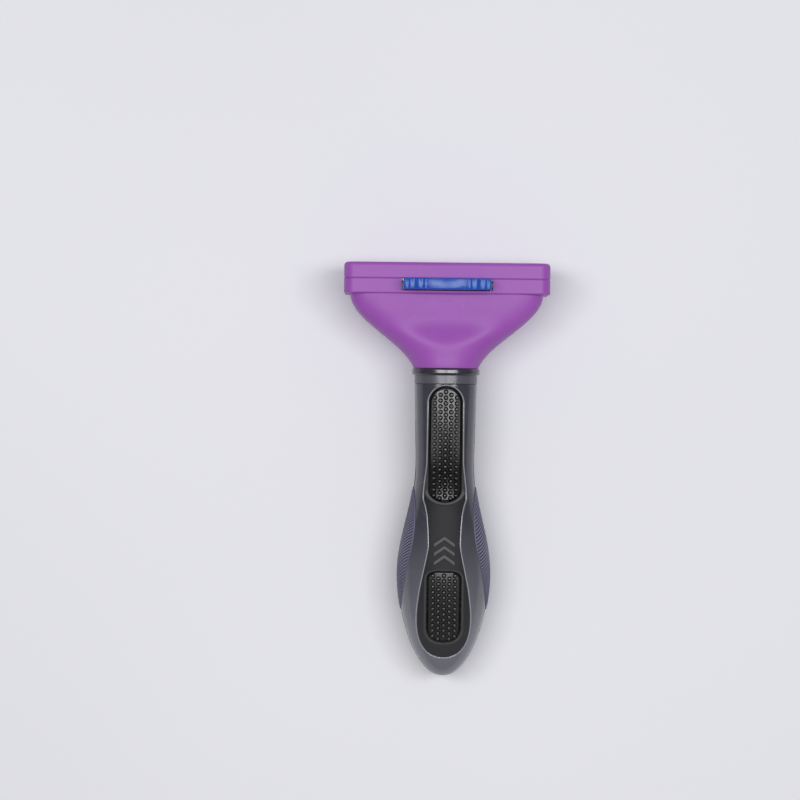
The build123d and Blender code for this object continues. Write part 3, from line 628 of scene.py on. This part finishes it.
@cache
def handling_group() -> NodeTree:
    """Traces of handling: hair-fine scratches in two directions and small specks of dust.

    Returns:
        The group, which gives Scratch and Speck.
    """
    bench, given, result = new_group("handling", {"Scratches": 0.5, "Specks": 0.3}, ("Scratch", "Speck"))
    place = bench.place()
    marks = []
    for turn, stretch in ((0.5, 26.0), (-0.9, 34.0)):
        inputs = {"Vector": place, "Rotation": (0.2, 0.1, turn), "Scale": (0.025 / stretch, 1 / 24, 1 / 60)}
        turned = bench.add("ShaderNodeMapping", inputs, vector_type="TEXTURE")
        streak = bench.noise(turned.outputs[0], 1.0, 2.0, 0.5)
        marks.append(bench.span(streak, 0.72, 0.78))
    both = bench.math("MAXIMUM", *marks)
    patchy = bench.span(bench.noise(place, 75.0, 2.0), 0.45, 0.62)
    scratch = bench.math("MULTIPLY", bench.math("MULTIPLY", both, patchy), given.outputs["Scratches"])
    cells = bench.add("ShaderNodeTexVoronoi", {"Vector": place, "Scale": 420.0, "Randomness": 1.0})
    speck = bench.span(cells.outputs["Distance"], 0.05, 0.10, 1.0, 0.0)
    rare = bench.span(bench.noise(place, 210.0, 1.0), 0.6, 0.68)
    speck = bench.math("MULTIPLY", bench.math("MULTIPLY", speck, rare), given.outputs["Specks"])
    bench.give(result, {"Scratch": scratch, "Speck": speck})
    return bench.tree


def rgba(colour: Colour) -> tuple[float, float, float, float]:
    """A colour with full alpha."""
    return (*colour, 1.0)


@dataclass(frozen=True)
class Moulded:
    """Moulded plastic or rubber: a colour with a cloudy second tone, grain, gloss and signs of handling.

    The raised colour paints a highlight where the relief rises and the sunken colour paints shade in its
    hollows. From the first to the second of far_span, two places along Y, the colour goes over to far.
    """

    name: str
    colour: Colour
    tone: Colour
    gloss: float
    gloss_spread: float = 0.06
    grain_scale: float = 2600.0
    grain: float = 0.25
    wave: float = 0.5
    bump: float = 0.12 * MM
    coat: float = 0.0
    coat_gloss: float = 0.1
    scratches: float = 0.5
    specks: float = 0.2
    dust: Colour = (0.55, 0.54, 0.56)
    specular: float = 0.5
    raised_highlight: Colour | None = None
    sunken_shade: Colour | None = None
    far: Colour | None = None
    far_span: tuple[float, float] = (0.0, -0.04)
    far_drift: float = 0.012
    scratch_tint: float = 0.25
    scratch_gloss: float = 0.25
    scratch_depth: float = 0.15

    def material(self) -> Material:
        """Builds the finish as a node material.

        Returns:
            The material.
        """
        made, bench = new_material(self.name)
        skin = bench.group(moulded_skin_group(), {
            "Grain Scale": self.grain_scale, "Grain": self.grain, "Wave": self.wave, "Gloss": self.gloss,
            "Gloss Spread": self.gloss_spread})
        marks = bench.group(handling_group(), {"Scratches": self.scratches, "Specks": self.specks})
        colour = bench.blend(skin.outputs["Cloud"], rgba(self.colour), rgba(self.tone))
        # The colour goes over to far along Y: a painted reflection on the shell, painted shade on the thumb
        # pad.
        if self.far:
            along = bench.add("ShaderNodeSeparateXYZ", {"Vector": bench.place()}).outputs["Y"]
            along = bench.math("MULTIPLY_ADD", skin.outputs["Cloud"], self.far_drift, along)
            colour = bench.blend(bench.span(along, *self.far_span), colour, rgba(self.far))
        # Painted light: a highlight where the relief rises, shade where it sinks.
        relief = bench.add("ShaderNodeAttribute", attribute_name=RELIEF).outputs["Fac"]
        if self.raised_highlight:
            colour = bench.blend(bench.span(relief, 0.0, 1.0), colour, rgba(self.raised_highlight))
        if self.sunken_shade:
            colour = bench.blend(bench.span(relief, 0.0, -1.0), colour, rgba(self.sunken_shade))
        scratch = marks.outputs["Scratch"]
        colour = bench.blend(bench.math("MULTIPLY", scratch, self.scratch_tint), colour, rgba(self.dust))
        colour = bench.blend(marks.outputs["Speck"], colour, rgba(self.dust))
        rough = bench.math("MULTIPLY_ADD", scratch, self.scratch_gloss, skin.outputs["Roughness"])
        height = bench.math("MULTIPLY_ADD", scratch, -self.scratch_depth, skin.outputs["Height"])
        bump = bench.add("ShaderNodeBump", {"Height": height, "Strength": 1.0, "Distance": self.bump})
        bench.surface({"Base Color": colour, "Roughness": rough, "Normal": bump.outputs[0],
                       "Coat Weight": self.coat, "Coat Roughness": self.coat_gloss,
                       "Specular IOR Level": self.specular})
        return made


class Lay(Enum):
    """The direction of a metal's grinding or drawing lines, as the scale of their noise along x, y and z."""

    ALONG_TEETH = (1.0, 1.0, 0.03)
    ACROSS = (0.03, 1.0, 1.0)
    NONE = (1.0, 1.0, 1.0)


@dataclass(frozen=True)
class Metal:
    """Ground, rolled or plated steel: lines in one direction, cloudy gloss and light wear."""

    name: str
    colour: Colour
    tone: Colour
    gloss: float
    lay: Lay
    gloss_spread: float = 0.06
    scratches: float = 0.7
    scratch_gloss: float = 0.2
    line_scale: float = 5200.0
    line_depth: float = 0.02 * MM
    line_gloss: float = 0.12

    def material(self) -> Material:
        """Builds the finish as a node material.

        Returns:
            The material.
        """
        made, bench = new_material(self.name)
        drawn = bench.add("ShaderNodeMapping", {"Vector": bench.place(), "Scale": self.lay.value})
        lines = bench.noise(drawn.outputs[0], self.line_scale, 3.0, 0.6)
        skin = bench.group(moulded_skin_group(), {"Gloss": self.gloss, "Gloss Spread": self.gloss_spread})
        marks = bench.group(handling_group(), {"Scratches": self.scratches})
        share = bench.math("MULTIPLY", bench.math("ADD", skin.outputs["Cloud"], lines), 0.5)
        colour = bench.blend(share, rgba(self.colour), rgba(self.tone))
        rough = bench.math("MULTIPLY_ADD", lines, self.line_gloss, skin.outputs["Roughness"])
        rough = bench.math("MULTIPLY_ADD", marks.outputs["Scratch"], self.scratch_gloss, rough)
        bump = bench.add("ShaderNodeBump", {"Height": lines, "Strength": 0.6, "Distance": self.line_depth})
        bench.surface({"Base Color": colour, "Roughness": rough, "Metallic": 1.0, "Normal": bump.outputs[0]})
        return made


PURPLE = Moulded("purple_plastic", (0.355, 0.092, 0.468), (0.385, 0.106, 0.498), 0.42, specular=0.34)
BLUE = Moulded("blue_plastic", (0.008, 0.078, 0.440), (0.012, 0.095, 0.500), 0.18, wave=0.2, specular=0.36)
COLLAR = Moulded("collar_plastic", (0.026, 0.022, 0.036), (0.036, 0.030, 0.048), 0.10, wave=0.3, coat=0.5)
BAND = Moulded("band_plastic", (0.085, 0.082, 0.104), (0.105, 0.100, 0.122), 0.30, wave=0.3, coat=0.2)
# Smoke grey shell: the lip round the seat is painted lighter as a highlight, and the colour turns lighter
# towards the butt as a painted reflection.
SMOKE = Moulded("smoke_plastic", (0.034, 0.034, 0.048), (0.052, 0.052, 0.070), 0.20, wave=0.9, coat=0.5,
                raised_highlight=(0.34, 0.34, 0.38), far=(0.180, 0.180, 0.210), far_span=(-0.012, -0.052))
# Spine rubber: chevrons and beads are painted lighter as highlights, the pad windows darker as shade; it
# turns lighter towards the butt.
RUBBER = Moulded("spine_rubber", (0.019, 0.019, 0.021), (0.026, 0.026, 0.028), 0.50, grain=0.8,
                 bump=0.05 * MM, scratches=0.2, specks=0.35, specular=0.2, raised_highlight=(0.115, 0.115, 0.12),
                 sunken_shade=(0.006, 0.006, 0.006), far=(0.040, 0.040, 0.042), far_span=(-0.030, -0.050))
# Thumb pad rubber: its light grey stands in for glossy reflections between the studs (painted reflection),
# stud feet are painted dark as shade, and it turns darker towards the pad's foot as painted shade.
THUMB_RUBBER = Moulded("thumb_pad_rubber", (0.130, 0.125, 0.120), (0.070, 0.070, 0.070), 0.16, grain=0.4,
                       bump=0.03 * MM, scratches=0.0, specks=0.15, specular=0.4, raised_highlight=(0.11, 0.11, 0.11),
                       sunken_shade=(0.003, 0.003, 0.003), far=(0.010, 0.010, 0.010), far_span=(0.014, 0.004))
# Palm pad rubber: stud tips are painted lighter as highlights and stud feet darker as shade.
PALM_RUBBER = Moulded("palm_pad_rubber", (0.018, 0.018, 0.019), (0.028, 0.028, 0.029), 0.24, grain=0.4,
                      bump=0.03 * MM, scratches=0.0, specks=0.15, raised_highlight=(0.13, 0.13, 0.13),
                      sunken_shade=(0.008, 0.008, 0.008))
# Side grip rubber: rib crests are painted lighter as highlights and troughs darker as shade; part of its
# violet cast is a painted reflection.
SIDE_RUBBER = Moulded("side_grip_rubber", (0.105, 0.098, 0.160), (0.125, 0.117, 0.188), 0.40, grain=0.6,
                      bump=0.04 * MM, scratches=0.2, raised_highlight=(0.26, 0.25, 0.36), sunken_shade=(0.02, 0.02, 0.045))
COMB_STEEL = Metal("comb_steel", (0.60, 0.60, 0.62), (0.72, 0.72, 0.73), 0.22, Lay.ALONG_TEETH)
# Dark plate steel: partly the steel's own colour, partly painted shade, so the plate seen through the slot's
# ends reads dark.
PLATE_STEEL = Metal("plate_steel", (0.20, 0.205, 0.215), (0.27, 0.27, 0.28), 0.36, Lay.ACROSS)
WIRE_STEEL = Metal("wire_steel", (0.42, 0.42, 0.44), (0.52, 0.52, 0.54), 0.28, Lay.NONE)
SCREW_STEEL = Metal("screw_steel", (0.55, 0.55, 0.56), (0.66, 0.66, 0.66), 0.25, Lay.NONE)


@cache
def mixed(finish: Moulded | Metal) -> Material:
    """A finish's material, built on its first use."""
    return finish.material()


def dress(thing: Object, finish: Moulded | Metal) -> None:
    """Gives a piece or a node its finish in place of any other.

    Args:
        thing: The object.
        finish: What it is made of.
    """
    slots = thing.data.materials
    if not slots:
        slots.append(mixed(finish))
    for i in range(len(slots)):
        slots[i] = mixed(finish)


def fit(piece: Object, body: str, slot: str, finish: Moulded | Metal, *nodes: str) -> None:
    """Dresses a new piece, rides it on its body and lets it stand for its solids.

    Args:
        piece: The new piece.
        body: The body that it moves with.
        slot: The record's material slot; not used.
        finish: What it is made of.
        nodes: The solids that it replaces.
    """
    dress(piece, finish)
    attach(piece, body)
    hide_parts(*nodes)
    LOG.info("%s: %d faces on %s", piece.name, len(piece.data.polygons), body)


# ---- Sub-assemblies ----
@dataclass
class Head:
    """The flared head: housing, cover, comb, screws and guide rods, which keep their solids."""

    finishes: dict[str, Moulded | Metal] = field(default_factory=lambda: {
        "head_housing": PURPLE, "head_cover": PURPLE, "blade": COMB_STEEL, "head_screws": SCREW_STEEL,
        "guide_rod_left": SCREW_STEEL, "guide_rod_right": SCREW_STEEL})

    def build(self) -> None:
        """Dresses the head's nodes."""
        for name, finish in self.finishes.items():
            dress(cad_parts[name], finish)
            LOG.info("%s: %s", name, finish.name)


@dataclass
class Ejector:
    """The wiper plate, the push button and the springs that bring them back."""

    width: float = 30.6 * MM
    scoop_half: float = 7.4 * MM
    scoop_depth: float = 1.3 * MM
    flute_width: float = 2.9 * MM
    flute_depth: float = 0.45 * MM
    ridge: float = 0.5 * MM
    thickness: float = 3.9 * MM
    edge_radius: float = 0.35 * MM
    corner_radius: float = 0.8 * MM
    arm_thickness: float = 3.4 * MM
    arm_play: float = 0.35 * MM
    arm_overlap: float = 0.1 * MM
    wire: float = 0.4 * MM
    turns: int = 9
    travel: float = 7.0 * MM

    def face_line(self, x: Array, z_out: float) -> Array:
        """The button's outer face: a round scoop in the middle and two flutes on each side of it, each a
        parabola's arc.

        Args:
            x: Places across the button.
            z_out: The height of its ridges.
        Returns:
            The face's height at each place.
        """
        away = np.abs(x)
        scoop = self.scoop_depth * np.clip(1 - (away / self.scoop_half) ** 2, 0, None)
        first = self.scoop_half + self.ridge
        place = (away - first) / self.flute_width
        within = (place > 0) & (place < 2)
        flute = np.where(within, self.flute_depth * (1 - (2 * (place % 1) - 1) ** 2), 0.0)
        corner = np.clip(away - self.width / 2 + self.corner_radius, 0, self.corner_radius)
        turn = self.corner_radius - np.sqrt(self.corner_radius**2 - corner**2)
        return z_out - scoop - flute - turn

    def button(self) -> Object:
        """The push button with its arms. Its outline is carried along Y, and drawn in along its own normal at
        both ends by a quarter circle.

        Returns:
            The piece.
        """
        low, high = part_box("ejector_button")
        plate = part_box("ejector_plate")
        half = self.width / 2
        x = half * np.sin(np.linspace(-np.pi / 2, np.pi / 2, 321))
        top = np.stack([x, self.face_line(x, high.z)], axis=-1)
        base = np.array([[half, low.z], [-half, low.z]])
        loop = even_loop(np.concatenate([top, base, top[:1]]), 640)
        ahead = np.roll(loop, -1, axis=0) - np.roll(loop, 1, axis=0)
        normal = np.stack([-ahead[:, 1], ahead[:, 0]], axis=-1)
        normal /= np.linalg.norm(normal, axis=1, keepdims=True)
        y_top = low.y + self.thickness
        centre = np.array([[0.0, (low.z + high.z) / 2]])
        drop, inset = quarter(self.edge_radius, 5)
        rows = [(np.broadcast_to(centre, loop.shape), low.y)]
        rows += [(loop - normal * i, low.y + d) for i, d in zip(inset, drop)]
        rows += [(loop - normal * i, y_top - d) for i, d in zip(inset[::-1], drop[::-1])]
        rows += [(np.broadcast_to(centre, loop.shape), y_top)]
        rings = [np.stack([line[:, 0], np.full(len(line), y), line[:, 1]], axis=-1) for line, y in rows]
        arm_back = plate[1].z + self.arm_overlap
        arms = self.block((low.x, low.y, arm_back - self.arm_thickness),
                          (high.x, plate[0].y - self.arm_play, arm_back))
        return grid_object("push_button", [Patch(np.stack(rings)), Patch(arms)], 35.0)

    @staticmethod
    def block(low: tuple[float, float, float], high: tuple[float, float, float]) -> Array:
        """A box as rows of four corners between two collapsed ends.

        Args:
            low: Its lowest corner.
            high: Its highest corner.
        Returns:
            Points as rows, columns and x, y, z.
        """
        corners = np.array([[0, 0], [1, 0], [1, 1], [0, 1]], float)
        size = np.array(high) - np.array(low)
        rings = [(0.5 + 0 * corners, 0.0), (corners, 0.0), (corners, 1.0), (0.5 + 0 * corners, 1.0)]
        shares = np.stack([np.stack([np.full(4, along), c[:, 0], c[:, 1]], axis=-1) for c, along in rings])
        return np.array(low) + shares * size

    def spring(self, side: str) -> Object:
        """A return spring: a circle carried along a helix, whose pitch closes to a flat turn at each end.

        Args:
            side: left or right.
        Returns:
            The piece.
        """
        low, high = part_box(f"return_spring_{side}")
        centre = (low + high) / 2
        radius = (high.x - low.x) / 2 - self.wire / 2
        t = np.linspace(0, 1, self.turns * 28 + 1)
        turn = 2 * np.pi * self.turns * t
        climb = smooth_line(t, np.array([0, 0.09, 0.91, 1.0]), np.array([0.0, 0.028, 0.972, 1.0]))
        height = low.z + self.wire / 2 + (high.z - low.z - self.wire) * climb
        ring = np.linspace(0, 2 * np.pi, 8, endpoint=False)
        thick = np.full(t.size + 2, self.wire / 2)
        thick[[0, -1]] = 0.0
        turn, height = (np.pad(line, 1, mode="edge")[:, None] for line in (turn, height))
        reach = radius + thick[:, None] * np.cos(ring)
        points = np.stack([centre.x + reach * np.cos(turn), centre.y + reach * np.sin(turn),
                           height + thick[:, None] * np.sin(ring)], axis=-1)
        return grid_object(f"spring_{side}", [Patch(points)], 80.0)

    def build(self) -> None:
        """Makes the button and the springs and dresses the plate."""
        fit(self.button(), EJECTOR, "blue_button", BLUE, "ejector_button")
        dress(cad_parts["ejector_plate"], PLATE_STEEL)
        for side in ("left", "right"):
            node = f"return_spring_{side}"
            piece = self.spring(side)
            fit(piece, TOOL, "spring_steel", WIRE_STEEL, node)
            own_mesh(piece)


def scaled(*knots: tuple[float, float]) -> tuple[tuple[float, float], ...]:
    """An outline's knots, turned from millimetres into metres."""
    return tuple((s * MM, width * MM) for s, width in knots)


@dataclass(frozen=True)
class StudPad:
    """A studded pad: a slab that lies in the spine's window with a field of small round studs on it.

    A stud's profile is a row of radius and height, in shares of its radius and height, and a relief share
    that the finish paints as shade at the stud's foot (-1) and as a highlight on its tip (1).
    """

    name: str
    strip: Strip
    first_row: float
    row_pitch: float
    column_pitch: float
    columns: int = 5
    finish: Moulded = PALM_RUBBER
    margin: float = 0.8 * MM
    border: float = 0.5 * MM
    stud_radius: float = 0.82 * MM
    stud_height: float = 0.62 * MM
    slab_proud: float = 0.0
    depth: float = 1.1 * MM
    edge: float = 0.3 * MM
    hollow: float = 0.0
    hollow_half: float = 3.1 * MM
    profile: tuple[tuple[float, float, float], ...] = (
        (0.0, -0.15, -1.0), (1.1, -0.15, -1.0), (1.0, 0.08, -1.0), (0.86, 0.55, -1.0), (0.62, 0.85, -0.7),
        (0.32, 0.97, 0.5), (0.0, 1.0, 1.0))
    sides: int = 12

    def stud_places(self) -> tuple[Array, Array]:
        """The studs' lattice: equal columns, every other one half a row lower, cut to the outline.

        Returns:
            s and q of each stud.
        """
        rows = np.arange(int((self.strip.end - self.strip.start) / self.row_pitch) + 2)
        column = np.arange(self.columns) - (self.columns - 1) / 2
        s, q = np.meshgrid(self.first_row + rows * self.row_pitch, column * self.column_pitch, indexing="ij")
        s = s + np.where(np.arange(self.columns) % 2 == 1, self.row_pitch / 2, 0.0)
        kept = self.strip.outside(s, q) < -self.margin
        return s[kept], q[kept]

    def build(self, form: HandleForm) -> list[Patch]:
        """Works out slab and studs. A stud is a profile turned about the form's normal.

        Args:
            form: The handle's form.
        Returns:
            The slab's surface and the studs' surfaces.
        """
        slab = Inlay(self.name, self.strip, self.slab_proud, self.depth, self.edge, 24, 400, gap=self.edge)
        s, q = (v[:, None, None] for v in self.stud_places())
        # The third column is painted shade at each stud's foot and a painted highlight on its tip.
        radius, height, tone = np.array(self.profile).T
        radius, height = radius * self.stud_radius, height * self.stud_height
        turn = np.linspace(0, 2 * np.pi, self.sides, endpoint=False)
        around = s + radius[:, None] * np.sin(turn)
        beside = q + radius[:, None] * np.cos(turn)
        rise = np.broadcast_to(self.slab_proud + height[:, None], around.shape)
        studs = Patch(form.place(self.strip.side, around, beside, rise), tone[:, None])
        return [slab.build(form, self.groove), studs]

    def groove(self, s: Array, q: Array) -> Array:
        """The slab's top, which dips towards its rim and, as a parabola, along its middle line; the finish
        paints the dips darker as shade.
        """
        rim = self.edge * ease((self.strip.outside(s, q) + self.border) / self.edge)
        return -rim - self.hollow * np.clip(1 - (q / self.hollow_half) ** 2, 0, None)


@dataclass
class Handle:
    """The handle: two hard half shells, a studded spine, finger and side grips, collar, band and screws.

    A bead is a distance outside a pad's outline, a half width and a height; stop_bead is what is added to the
    bead towards the foot of the upper pad.
    """

    form: HandleForm
    spine_proud: float = 0.4 * MM
    inlay_depth: float = 1.15 * MM
    inlay_edge: float = 0.3 * MM
    side_proud: float = 0.3 * MM
    side_depth: float = 0.95 * MM
    side_edge: float = 0.25 * MM
    side_centre: float = 61.5 * MM
    side_half_length: float = 22.0 * MM
    side_half_height: float = 9.0 * MM
    rib_pitch: float = 1.15 * MM
    rib_height: float = 0.22 * MM
    rib_slant: float = 0.62
    rib_fade: float = 0.7 * MM
    window_depth: float = 0.6 * MM
    window_from: float = 0.02 * MM
    window_slope: float = 0.28 * MM
    bead: tuple[float, float, float] = (0.70 * MM, 0.34 * MM, 0.13 * MM)
    stop_bead: tuple[float, float, float] = (0.12 * MM, 0.14 * MM, 0.44 * MM)
    stop_reach: float = 5.0 * MM
    stop_fade: float = 3.0 * MM
    chevron_at: float = 62.0 * MM
    chevron_step: float = 3.2 * MM
    chevron_half: float = 3.6 * MM
    chevron_limb: float = 1.3 * MM
    chevron_rise: float = 0.35 * MM
    chevron_slope: float = 0.22 * MM
    finger_pitch: float = 3.4 * MM
    finger_groove: float = 0.32 * MM
    finger_fade: float = 1.8 * MM

    def spine_strip(self) -> Strip:
        """The outline of the thumb-side spine."""
        knots = scaled((0.0, 6.0), (8.0, 6.0), (30.0, 6.05), (37.0, 6.75), (43.2, 7.3), (46.4, 6.5),
                       (50.0, 5.85), (60.0, 5.35), (64.4, 6.0), (70.4, 7.25), (77.0, 8.5), (85.6, 9.3),
                       (92.0, 9.3), (110.0, 9.3))
        return Strip(Side.THUMB, 3.8 * MM, 99.9 * MM, knots, 6.2 * MM, 13.5 * MM, 2.0, 2.3)

    def finger_strip(self) -> Strip:
        """The outline of the finger-side grip."""
        knots = scaled((0.0, 5.6), (32.0, 5.6), (71.5, 9.7), (110.0, 9.7))
        return Strip(Side.FINGER, 12.0 * MM, 92.8 * MM, knots, 5.6 * MM, 12.0 * MM, 2.0, 2.2)

    def side_strip(self, side: Side) -> Strip:
        """The leaf outline of a side grip."""
        mid, half, tall = self.side_centre, self.side_half_length, self.side_half_height
        knots = ((0.0, tall), (mid, tall), (2 * mid, tall))
        return Strip(side, mid - half, mid + half, knots, half * 0.995, half * 0.995, 1.72, 1.72)

    def thumb_pad(self) -> StudPad:
        """The upper studded pad, with round ends."""
        knots = scaled((0.0, 5.5), (100.0, 5.5))
        strip = Strip(Side.THUMB, 4.4 * MM, 44.7 * MM, knots, 5.5 * MM, 4.4 * MM)
        return StudPad("thumb_stud_pad", strip, 5.9 * MM, 2.03 * MM, 1.93 * MM, finish=THUMB_RUBBER,
                       hollow=0.16 * MM)

    def palm_pad(self) -> StudPad:
        """The lower studded pad, squarer at its top than at its bottom."""
        knots = scaled((0.0, 5.8), (100.0, 5.8))
        strip = Strip(Side.THUMB, 69.2 * MM, 94.2 * MM, knots, 3.4 * MM, 5.2 * MM, 3.0, 2.4)
        return StudPad("palm_stud_pad", strip, 70.7 * MM, 1.95 * MM, 1.93 * MM)

    def spine_relief(self, s: Array, q: Array) -> Array:
        """The spine's top: a window for each pad with a low bead round it, and three chevrons standing proud.
        The finish paints beads and chevrons lighter as highlights and the windows darker as shade.

        Args:
            s: Distances from the handle's top.
            q: Distances across.
        Returns:
            Heights to add to the top.
        """
        height = np.zeros(np.broadcast(s, q).shape)
        for pad in (self.thumb_pad(), self.palm_pad()):
            away = pad.strip.outside(s, q)
            open_share = 1 - ease((away - self.window_from) / self.window_slope)
            height -= (self.spine_proud + self.window_depth) * open_share
            upper = pad.name == "thumb_stud_pad"
            stop = ease((s - pad.strip.end + self.stop_reach) / self.stop_fade) if upper else 0.0
            out, half, rise = (a + b * stop for a, b in zip(self.bead, self.stop_bead))
            height += rise * np.exp(-(((away - out) / half) ** 2))
        for i in (-1, 0, 1):
            line = self.chevron_at - i * self.chevron_step - self.chevron_limb / 2
            line = line + 2 * self.chevron_limb * (np.abs(q) / self.chevron_half)
            over = np.abs(s - line + self.chevron_limb / 2) - self.chevron_limb / 2
            over = np.maximum(over, np.abs(q) - self.chevron_half)
            height += self.chevron_rise * (1 - ease(over / self.chevron_slope + 0.5))
        return height

    def finger_relief(self, s: Array, q: Array) -> Array:
        """The finger grip's top: low rounded bars across it, fading out towards the edge.

        Args:
            s: Distances from the handle's top.
            q: Distances across.
        Returns:
            Heights to add to the top.
        """
        wave = 0.5 - 0.5 * np.cos(2 * np.pi * s / self.finger_pitch)
        fade = ease(-self.finger_strip().outside(s, q) / self.finger_fade - 0.4)
        return -self.finger_groove * (1 - wave**0.6) * fade

    def side_relief(self, s: Array, q: Array) -> Array:
        """A side grip's top: fine ribs that slant across it, fading out at the edge.

        Args:
            s: Distances from the handle's top.
            q: Distances across.
        Returns:
            Heights to add to the top.
        """
        phase = 2 * np.pi * (s + self.rib_slant * q) / self.rib_pitch
        fade = ease(-self.side_strip(Side.LEFT).outside(s, q) / self.rib_fade)
        return self.rib_height * np.cos(phase) * fade

    def inlays(self) -> list[tuple[str, Inlay, Relief, str, Moulded]]:
        """The four soft inlays: the node of each, its form, its relief, its material slot and its finish.

        Returns:
            The inlays, in the order in which they are made.
        """
        sizes = (self.spine_proud, self.inlay_depth, self.inlay_edge)
        spine = Inlay("spine_grip", self.spine_strip(), *sizes, 46, 1100)
        finger = Inlay("finger_grip", self.finger_strip(), *sizes, 40, 700)
        made = [("thumb_side_spine", spine, self.spine_relief, "black_rubber", RUBBER),
                ("finger_side_grip", finger, self.finger_relief, "black_rubber", RUBBER)]
        sizes = (self.side_proud, self.side_depth, self.side_edge)
        for node, side in (("side_grip_left", Side.LEFT), ("side_grip_right", Side.RIGHT)):
            grip = Inlay(f"ribbed_{node}", self.side_strip(side), *sizes, 50, 700, full=self.rib_height)
            made.append((node, grip, self.side_relief, "side_rubber", SIDE_RUBBER))
        return made

    def build(self) -> None:
        """Makes the handle's pieces and dresses its finger shell, collar, band and screws."""
        form = self.form
        shell = HalfShell("thumb_shell", self.spine_strip(), 900)
        fit(grid_object(shell.name, [shell.build(form)]), TOOL, "smoke_gray_shell", SMOKE, "thumb_side_shell")
        dress(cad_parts["finger_side_shell"], SMOKE)
        for node, inlay, relief, slot, finish in self.inlays():
            surface = inlay.build(form, relief)
            fit(grid_object(inlay.name, [surface], 60.0), TOOL, slot, finish, node)
        for node, pad in (("thumb_pad", self.thumb_pad()), ("palm_pad", self.palm_pad())):
            fit(grid_object(pad.name, pad.build(form), 45.0), TOOL, "pad_rubber", pad.finish, node)
        for node, finish in (("neck_collar", COLLAR), ("neck_band", BAND), ("handle_screws", SCREW_STEEL)):
            dress(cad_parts[node], finish)


# ---- Studio ----
@dataclass(frozen=True)
class Softbox:
    """A rectangular light that looks at the tool, with its power in watts."""

    name: str
    place: tuple[float, float, float]
    size: tuple[float, float]
    power: float
    tint: Colour = (1.0, 1.0, 1.0)

    def build(self) -> None:
        """Sets it up."""
        lamp = bpy.data.lights.new(self.name, "AREA")
        lamp.shape = "RECTANGLE"
        lamp.size, lamp.size_y = self.size
        lamp.energy = self.power
        lamp.color = self.tint
        stand = new_object(self.name, lamp)
        stand.location = self.place
        stand.rotation_euler = (-Vector(self.place)).to_track_quat("-Z", "Y").to_euler()


@dataclass
class Studio:
    """A pale table, two softboxes, a soft room and a camera that looks straight down."""

    frame_width: float = 0.2832
    lens: float = 120.0
    sensor: float = 36.0
    aim: tuple[float, float] = (-0.0162, 0.0249)
    aim_height: float = 0.024
    roll: float = 0.62
    softboxes: tuple[Softbox, ...] = (
        Softbox("left_softbox", (-0.33, 0.12, 1.10), (0.28, 0.66), 4.6),
        Softbox("right_softbox", (0.35, 0.10, 1.10), (0.28, 0.66), 4.8, (0.97, 0.98, 1.0)))

    def floor(self) -> None:
        """The table top, one flat grid."""
        x, y = np.meshgrid(np.linspace(-3, 3, 3), np.linspace(-3, 3, 3), indexing="ij")
        mesh = bpy.data.meshes.new("table_top")
        points = np.stack([x, y, 0 * x], axis=-1).reshape(-1, 3)
        faces = [(i * 3 + j, i * 3 + j + 3, i * 3 + j + 4, i * 3 + j + 1) for i in range(2) for j in range(2)]
        mesh.from_pydata(points.tolist(), [], faces)
        table = new_object("table_top", mesh)
        made, bench = new_material("pale_table")
        share = bench.span(bench.noise(bench.place(), 2.5, 2.0), 0.3, 0.7)
        colour = bench.blend(share, (0.90, 0.90, 0.94, 1), (0.94, 0.94, 0.97, 1))
        bench.surface({"Base Color": colour, "Roughness": 0.6, "Specular IOR Level": 0.2})
        mesh.materials.append(made)

    def camera(self) -> None:
        """The camera, as far away as its lens needs for the frame's width."""
        eye = bpy.data.cameras.new("camera")
        eye.lens = self.lens
        eye.sensor_width = self.sensor
        eye.clip_start = 0.01
        distance = self.frame_width * self.lens / self.sensor
        stand = new_object("camera", eye)
        stand.location = (*self.aim, self.aim_height + distance)
        stand.rotation_euler = (0.0, 0.0, math.radians(self.roll))
        bpy.context.scene.camera = stand

    def build(self) -> None:
        """Sets up table, light and camera."""
        scene = bpy.context.scene
        scene.view_settings.view_transform = "Standard"
        world = bpy.data.worlds.new("soft_room")
        world.use_nodes = True
        bench = Bench(world.node_tree)
        sky = bench.add("ShaderNodeBackground", {"Color": (0.93, 0.93, 0.97, 1), "Strength": 0.22})
        bench.add("ShaderNodeOutputWorld", {"Surface": sky.outputs[0]})
        scene.world = world
        self.floor()
        for softbox in self.softboxes:
            softbox.build()
        self.camera()
        LOG.info("studio: camera %s", tuple(round(v, 4) for v in scene.camera.location))


def main() -> None:
    """Builds the tool's sub-assemblies in order, then the studio."""
    logging.basicConfig(level=logging.INFO, format="%(name)s: %(message)s")
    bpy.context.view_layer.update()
    y_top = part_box("neck_collar")[0].y
    form = HandleForm(y_top=y_top, length=HANDLE_LENGTH)
    Head().build()
    Ejector().build()
    Handle(form).build()
    Studio().build()


if __name__ == "__main__":
    main()
